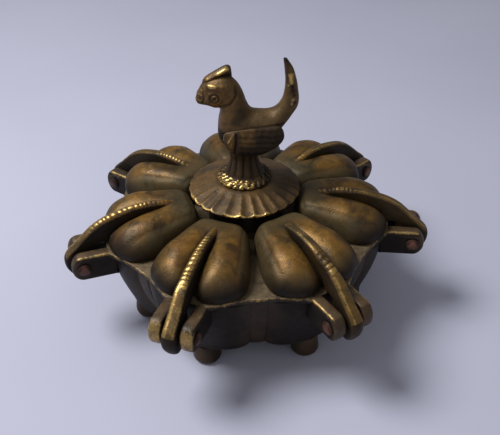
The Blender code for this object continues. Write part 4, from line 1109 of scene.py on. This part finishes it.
def trunk_patches():
    """Head, neck, body and tail: by t round each section, middle + spread * cos(t) in the side view
    and width * sin(t) across, with the marks raised or sunk along the normals."""
    sections = smooth_curve(BIRD_SECTION_SHARES, 270)
    back = bird_place(sections[:, 0], sections[:, 1])
    belly = bird_place(sections[:, 2], sections[:, 3])
    turn = np.linspace(0, math.tau, 116, endpoint=False)[None, :]
    middle = (back + belly) / 2
    side = middle[:, None, :] + ((back - belly) / 2)[:, None, :] * np.cos(turn)[..., None]
    width = BIRD_HALF_WIDTH * sections[:, 4:5]
    across = width * np.sign(np.sin(turn)) * np.abs(np.sin(turn)) ** 0.92
    points = np.stack([side[..., 0], across, side[..., 1]], -1)
    centre = np.stack([middle[:, 0], 0 * middle[:, 0], middle[:, 1]], -1)[:, None, :]
    normal = normals_of(points, wrap=True)
    normal = normal * np.sign(np.sum(normal * (points - centre), -1, keepdims=True) + TINY)
    flank = smoothstep(0.30, 0.65, np.abs(np.sin(turn)))
    rise, mark_dark, mark_rub_and_highlight = (flank * mark for mark in bird_marks(side))
    points = points + normal * (rise + 0.05 * hand_waves(1.6 * points))[..., None]
    x, up = side[..., 0], points[..., 2]
    # the marks' rub holds the brow's and the tail's painted highlights
    rub_and_highlight = mark_rub_and_highlight + 0.12 * smoothstep(0.80, 1.0, np.cos(turn))
    tip = smoothstep(0.90, 0.94, (side[..., 1] - BELLY) / BIRD_HEIGHT) * (x > 8)
    # painted shade: darker towards the bottom, under the belly
    foot = smoothstep(54.4, 52.6, up)
    head = 0.18 * smoothstep(58.5, 60.0, up) * (x < 0) * smoothstep(-6.5, -3.5, x)
    neck = 0.18 * smoothstep(-6.5, -2.5, x) * (x < 1.5) * (up < 60)
    back_light = smoothstep(0.5, 2.5, x) * smoothstep(54.4, 56.0, up) * (1 - smoothstep(62.0, 65.0, up))
    dark = np.clip(mark_dark + tip + foot + head + neck, 0, 1)
    warm = np.clip(1 - 0.8 * back_light, 0, 1)
    return capped(points, finish_at(points, np.clip(rub_and_highlight, 0, 1), 0.10 + 0.75 * back_light, dark, warm))


def leaf(outline, centre, half, edge, relief, rings):
    """A rounded plate across Y, as patches: each side is drawn from the outline to its centre,
    k from 1 to 0, at half * (1 - k ** edge) ** (1 / edge) plus relief(place) * (1 - k ** 8)."""
    k = (np.linspace(1, 0, rings) ** 0.8)[:, None]
    place = centre + (outline - centre)[None, :, :] * k[..., None]
    lift, finish = relief(place)
    patches = []
    for side in (1, -1):
        across = side * (half * arch(k, edge) + lift * (1 - k ** 8))
        patches.append(grid(np.stack([place[..., 0], across, place[..., 1]], -1), finish, wrap=True))
    return patches


def crest_patches():
    """The swept crest: a blunt wedge over the head with an upper roll made bright by a painted
    highlight, and a hollow below it darkened with painted shade.
    """
    def relief(place):
        roll = stroke(place, ((-0.345, 0.760), (-0.150, 0.862)), 0.62)
        glint = stroke(place, ((-0.225, 0.822), (-0.140, 0.862)), 0.42)
        hollow = stroke(place, ((-0.250, 0.770), (-0.128, 0.800)), 0.50)
        # painted highlight along the roll, painted shade in the hollow and away from the roll
        rub_and_highlight = np.clip(0.42 * roll + 0.95 * glint, 0, 1)
        dark = np.clip(1.1 * hollow + 0.30 * (1 - roll), 0, 1)
        return 0.50 * roll - 0.50 * hollow, finish_at(place, rub_and_highlight, 0, dark, 0.8)

    return leaf(smooth_outline(CREST_SHARES, 120), bird_place(-0.235, 0.775), CREST_HALF, 2.4, relief, 30)


def wing_patches(side):
    """A folded wing: a leaf-shaped shoulder feather in front, finely hatched feathers behind."""
    def relief(place):
        x, z = place[..., 0], place[..., 1]
        heart = stroke(place, ((-0.118, 0.230), (-0.132, 0.070)), 1.10)
        edge = stroke(place, ((-0.097, 0.270), (-0.131, 0.225), (-0.155, 0.175)), 0.32)
        cleft = stroke(place, ((-0.072, 0.262), (-0.076, 0.160), (-0.100, 0.050)), 0.36)
        strands = np.sin(x * 4.4 + 0.5 * z) * hump(x, -0.6, 1.3)
        upper = smoothstep(BELLY + 3.6, BELLY + 4.8, z)
        brown = smoothstep(-1.6, -0.8, x) * (1 - smoothstep(2.6, 4.0, x)) * upper
        behind = smoothstep(-2.0, -1.0, x)
        rows = np.sin(z * 3.6 + 0.35 * np.sin(x)) * behind
        barbs = np.sin(x * 3.1 + 1.1 * np.sin(z)) * behind
        lift = 0.34 * heart + 0.20 * edge - 0.36 * cleft + 0.10 * strands + 0.06 * rows + 0.05 * barbs
        rub_and_highlight = np.clip(0.62 * edge + 0.14 * heart + 0.10 * np.clip(strands, 0, 1), 0, 1)
        low = 0.35 * smoothstep(BELLY + 3.5, BELLY + 1.0, z)
        dark = 0.72 * behind - 0.50 * brown + 0.9 * cleft + 0.06 * rows + low
        dark = np.clip(dark + 0.35 * (1 - heart) * (1 - behind), 0, 1)
        return lift, finish_at(place, rub_and_highlight, 0.25 * behind * (1 - brown), dark, np.clip(heart + brown, 0, 1))

    patches = leaf(smooth_outline(WING_SHARES, 160), bird_place(0.08, 0.185), WING_HALF, 3.0, relief, 36)
    return [(points + (0, side * WING_OFFSET, 0), faces, finish) for points, faces, finish in patches]


def knob_mesh():
    """Post, tier and bird, as one casting."""
    bird = (trunk_patches(), crest_patches(), wing_patches(1), wing_patches(-1))
    return joined("knob", [post_mesh()] + [mesh_of("bird", patches, 50) for patches in bird])


# Materials

class Nodes:
    """A material's shader nodes: math, sum_of, noise, ramp and mix add some and give an output."""

    def __init__(self, name):
        self.material = bpy.data.materials.new(name)
        self.material.use_nodes = True
        self.tree = self.material.node_tree
        self.place = self.add("ShaderNodeTexCoord").outputs["Object"]

    def add(self, kind, inputs=(), **settings):
        """Adds a node with its settings, and gives its inputs their values or joins them."""
        node = self.tree.nodes.new(kind)
        for key, value in settings.items():
            setattr(node, key, value)
        self.give(node, inputs)
        return node

    def give(self, node, inputs):
        """Gives inputs, by name or number, a number, a colour or another node's output."""
        for key, value in inputs:
            socket = node.inputs[key]
            if isinstance(value, tuple):
                socket.default_value = (*value, 1.0)
            elif isinstance(value, (int, float)):
                socket.default_value = value
            else:
                self.tree.links.new(value, socket)

    def shade(self, *inputs):
        """Gives the surface shader its inputs."""
        self.give(self.tree.nodes["Principled BSDF"], inputs)

    def math(self, operation, *values, clamp=False):
        """One step of arithmetic on numbers or outputs."""
        node = self.add("ShaderNodeMath", enumerate(values), operation=operation, use_clamp=clamp)
        return node.outputs[0]

    def sum_of(self, total, *terms):
        """A number plus each term's value times its weight."""
        for value, weight in terms:
            total = self.math("MULTIPLY_ADD", value, weight, total)
        return total

    def noise(self, scale, detail, roughness=0.55, distortion=0.0):
        """Clouds across the piece, finer with scale and detail."""
        node = self.add("ShaderNodeTexNoise", (
            ("Vector", self.place), ("Scale", scale), ("Detail", detail), ("Roughness", roughness),
            ("Distortion", distortion)))
        return node.outputs["Fac"]

    def ramp(self, value, *stops):
        """A blend between stops: each is a position and a colour or a grey."""
        node = self.add("ShaderNodeValToRGB", [("Fac", value)])
        elements = node.color_ramp.elements
        while len(elements) < len(stops):
            elements.new(0.5)
        for element, (position, colour) in zip(elements, stops):
            element.position = position
            element.color = (*(colour if isinstance(colour, tuple) else (colour,) * 3), 1.0)
        return node.outputs["Color"]

    def mix(self, share, first, second):
        """A blend of two colours, by the sockets that a colour mix shows."""
        node = self.add("ShaderNodeMix", data_type="RGBA", clamp_factor=True)
        self.give(node, (("Factor", share), ("A", first), ("B", second)))
        return next(output for output in node.outputs if output.type == "RGBA")


def tint(colour, *factors):
    """A colour times one factor, or times one for each of red, green and blue."""
    if len(factors) == 1:
        factors = factors * 3
    return tuple(part * factor for part, factor in zip(colour, factors))


def aged_brass(name, patina, warm, worn, dusty=(0.082, 0.066, 0.036), pits=1.0, lumps=0.9):
    """Brass with a patina: a dark skin, warmer on crowns, dusty in corners, near black where the
    finish is dark, which is painted shade in many places, and bright metal where it is rubbed and
    where a highlight is painted, mottled at three sizes and finely pitted."""
    skin = Nodes(name)
    finish = skin.add("ShaderNodeAttribute", attribute_type="GEOMETRY", attribute_name=FINISH)
    rub_and_highlight, dust, dark = skin.add("ShaderNodeSeparateColor", [(0, finish.outputs["Color"])]).outputs
    patches = skin.noise(130, 4, 0.6, 0.5)
    clouds = skin.noise(420, 4, 0.65, 0.3)
    grain = skin.noise(1900, 3, 0.6)
    base = skin.ramp(patches, (0.34, tint(patina, 0.32)), (0.52, patina), (0.68, tint(patina, 1.45)))
    amber = skin.ramp(clouds, (0.34, tint(warm, 0.55)), (0.52, warm), (0.70, tint(warm, 1.30, 1.18, 1.0)))
    warm_share = skin.math("MULTIPLY", finish.outputs["Alpha"], skin.ramp(patches, (0.38, 0.15), (0.60, 1.0)),
                           clamp=True)
    colour = skin.mix(warm_share, base, amber)
    red_share = skin.math("MULTIPLY", skin.ramp(skin.noise(210, 3, 0.5, 0.6), (0.54, 0.0), (0.66, 1.0)), 0.35)
    colour = skin.mix(red_share, colour, tint(patina, 1.6, 0.95, 0.60))
    dust_share = skin.math("MULTIPLY", dust, skin.ramp(clouds, (0.35, 0.35), (0.62, 1.0)), clamp=True)
    colour = skin.mix(dust_share, colour, dusty)
    # the finish's darkness, painted shade in many places, mixes the colour towards near black
    dark_and_shade_share = skin.math("MULTIPLY", dark, skin.ramp(clouds, (0.3, 0.88), (0.7, 1.0)), clamp=True)
    colour = skin.mix(dark_and_shade_share, colour, (0.012, 0.0088, 0.0068))
    # the finish's rub, wear in places and painted highlight in others, turns the skin to bright metal
    rub_and_highlight_edge = skin.ramp(skin.sum_of(-1.0, (rub_and_highlight, 1.0), (grain, 0.9), (clouds, 1.1)), (0.30, 0.0), (0.90, 1.0))
    rub_and_highlight_share = skin.math("MULTIPLY", rub_and_highlight_edge, skin.math("GREATER_THAN", rub_and_highlight, 0.03))
    pit = skin.add("ShaderNodeTexVoronoi", feature="SMOOTH_F1")
    skin.give(pit, (("Vector", skin.place), ("Scale", 1150), ("Randomness", 1.0)))
    pit_depth = skin.ramp(pit.outputs["Distance"], (0.10, 0.0), (0.30, 1.0))
    unpitted = skin.ramp(skin.noise(500, 2, 0.5), (0.52, 1.0), (0.62, 0.0))
    pitted = skin.math("MAXIMUM", pit_depth, unpitted)
    height = skin.sum_of(0.0, (pitted, 0.5 * pits), (grain, 0.35), (clouds, lumps))
    roughness = skin.sum_of(0.34, (grain, 0.24), (dust_share, 0.16), (dark_and_shade_share, 0.10), (rub_and_highlight_share, -0.14))
    bump = skin.add("ShaderNodeBump", (("Strength", 0.55), ("Distance", 0.00022), ("Height", height)))
    skin.shade(
        ("Base Color", skin.mix(rub_and_highlight_share, colour, worn)),
        ("Metallic", skin.sum_of(0.40, (rub_and_highlight_share, 0.55), (dark_and_shade_share, -0.25))),
        ("Specular IOR Level", skin.ramp(dark_and_shade_share, (0.2, 0.42), (1.0, 0.12))),
        ("Roughness", roughness),
        ("Normal", bump.outputs["Normal"]),
    )
    return skin.material


def floor_material():
    """A pale matt floor, faintly clouded."""
    skin = Nodes("pale_floor")
    colour = skin.ramp(skin.noise(9, 2, 0.5), (0.3, (0.470, 0.475, 0.590)), (0.7, (0.500, 0.505, 0.620)))
    skin.shade(("Base Color", colour), ("Roughness", 0.9), ("Specular IOR Level", 0.1))
    return skin.material


# Pieces on their bodies

def piece(name, mesh, material, body, node):
    """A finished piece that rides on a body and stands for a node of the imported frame."""
    mesh.materials.clear()
    mesh.materials.append(material)
    made = link(name, mesh)
    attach(made, body)
    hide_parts(node)


def build():
    """Makes the materials and every piece of the box."""
    tray_brass = aged_brass(
        "tray_patina", patina=(0.060, 0.039, 0.021), warm=(0.125, 0.072, 0.030), worn=(0.52, 0.34, 0.12),
        dusty=(0.170, 0.126, 0.074))
    lid_brass = aged_brass(
        "lid_patina", patina=(0.070, 0.041, 0.011), warm=(0.195, 0.099, 0.015), worn=(0.52, 0.34, 0.115),
        dusty=(0.088, 0.068, 0.030))
    knob_brass = aged_brass(
        "knob_patina", patina=(0.078, 0.046, 0.015), warm=(0.158, 0.083, 0.019), worn=(0.60, 0.40, 0.135),
        dusty=(0.126, 0.074, 0.027), pits=1.6, lumps=1.5)
    copper = aged_brass(
        "rivet_copper", patina=(0.150, 0.062, 0.040), warm=(0.230, 0.105, 0.070), worn=(0.45, 0.22, 0.15))
    bare = aged_brass(
        "bare_brass", patina=(0.240, 0.165, 0.075), warm=(0.300, 0.200, 0.085), worn=(0.62, 0.45, 0.20))
    pin = pin_mesh()
    foot = foot_mesh()
    piece("tray", body_mesh(), tray_brass, "base", "body")
    for number, (place, crown, spine) in enumerate(zip(PLACES, CROWN_WARMTH_AND_HIGHLIGHTS, SPINES), 1):
        lid = joined("lid", [mesh_of("lid_shell", lid_shell_patches(*crown)), fin_mesh(*spine)])
        for name, mesh, skin, body, slot, node in (
            ("lid", lid, lid_brass, f"lid_{number}", "aged_brass_lids", "petal_lid"),
            ("pin", pin, copper, "base", "copper_rivet", "hinge_pin"),
            ("foot", foot, tray_brass, "base", "aged_brass_body", "foot"),
        ):
            piece(f"{name}_{number}_shape", smooth(moved(mesh, place)), skin, body, f"{node}_{number}")
    piece("collar_shape", collar_mesh(), knob_brass, "collar", "lotus_collar")
    piece("knob_shape", knob_mesh(), knob_brass, "knob", "bird_knob")
    piece("stem_shape", stem_mesh(), bare, "knob", "knob_stem")


# Stage, lights and camera

def stage():
    """A wide floor at the feet's soles, and an even pale world."""
    half = 3.0
    level = SOLE * MM
    mesh = bpy.data.meshes.new("floor")
    corners = [(-half, -half, level), (half, -half, level), (half, half, level), (-half, half, level)]
    mesh.from_pydata(corners, [], [(0, 1, 2, 3)])
    mesh.materials.append(floor_material())
    link("floor", mesh)
    world = bpy.data.worlds.new("studio")
    bpy.context.scene.world = world
    world.use_nodes = True
    background = world.node_tree.nodes["Background"]
    background.inputs["Color"].default_value = (0.96, 0.97, 1.0, 1.0)
    background.inputs["Strength"].default_value = 0.28


def area_light(name, energy, size, place):
    """A round lamp that shines on the middle of the box."""
    aim = Vector((0, 0, 0.02))
    data = bpy.data.lights.new(name, "AREA")
    data.shape = "DISK"
    data.energy = energy
    data.size = size
    lamp = link(name, data)
    lamp.location = place
    lamp.rotation_mode = "QUATERNION"
    lamp.rotation_quaternion = (aim - Vector(place)).to_track_quat("-Z", "Y")


def camera():
    """A long view from above the front. Its own +Z is the line back from its aim, and its right
    and up are turned about that line by a slight roll."""
    up_angle = math.radians(35.65)
    roll = math.radians(-0.98)
    aim = Vector((0.00139, 0.01432, 0.01124))
    distance = 0.23684
    back = Vector((0, -math.cos(up_angle), math.sin(up_angle)))
    level = Vector((1, 0, 0))
    upright = back.cross(level)
    right = level * math.cos(roll) + upright * math.sin(roll)
    up = upright * math.cos(roll) - level * math.sin(roll)
    matrix = Matrix((right, up, back)).transposed().to_4x4()
    matrix.translation = aim + back * distance
    data = bpy.data.cameras.new("view")
    data.sensor_width = 36
    data.lens = 51.65
    data.clip_start = 0.01
    data.clip_end = 20
    view = link("view", data)
    view.matrix_world = matrix
    bpy.context.scene.camera = view


build()
stage()
area_light("key", energy=2.8, size=0.26, place=(-0.28, 0.0, 0.47))
area_light("fill", energy=0.26, size=0.50, place=(0.24, -0.48, 0.45))
camera()
bpy.context.scene.view_settings.view_transform = "Standard"
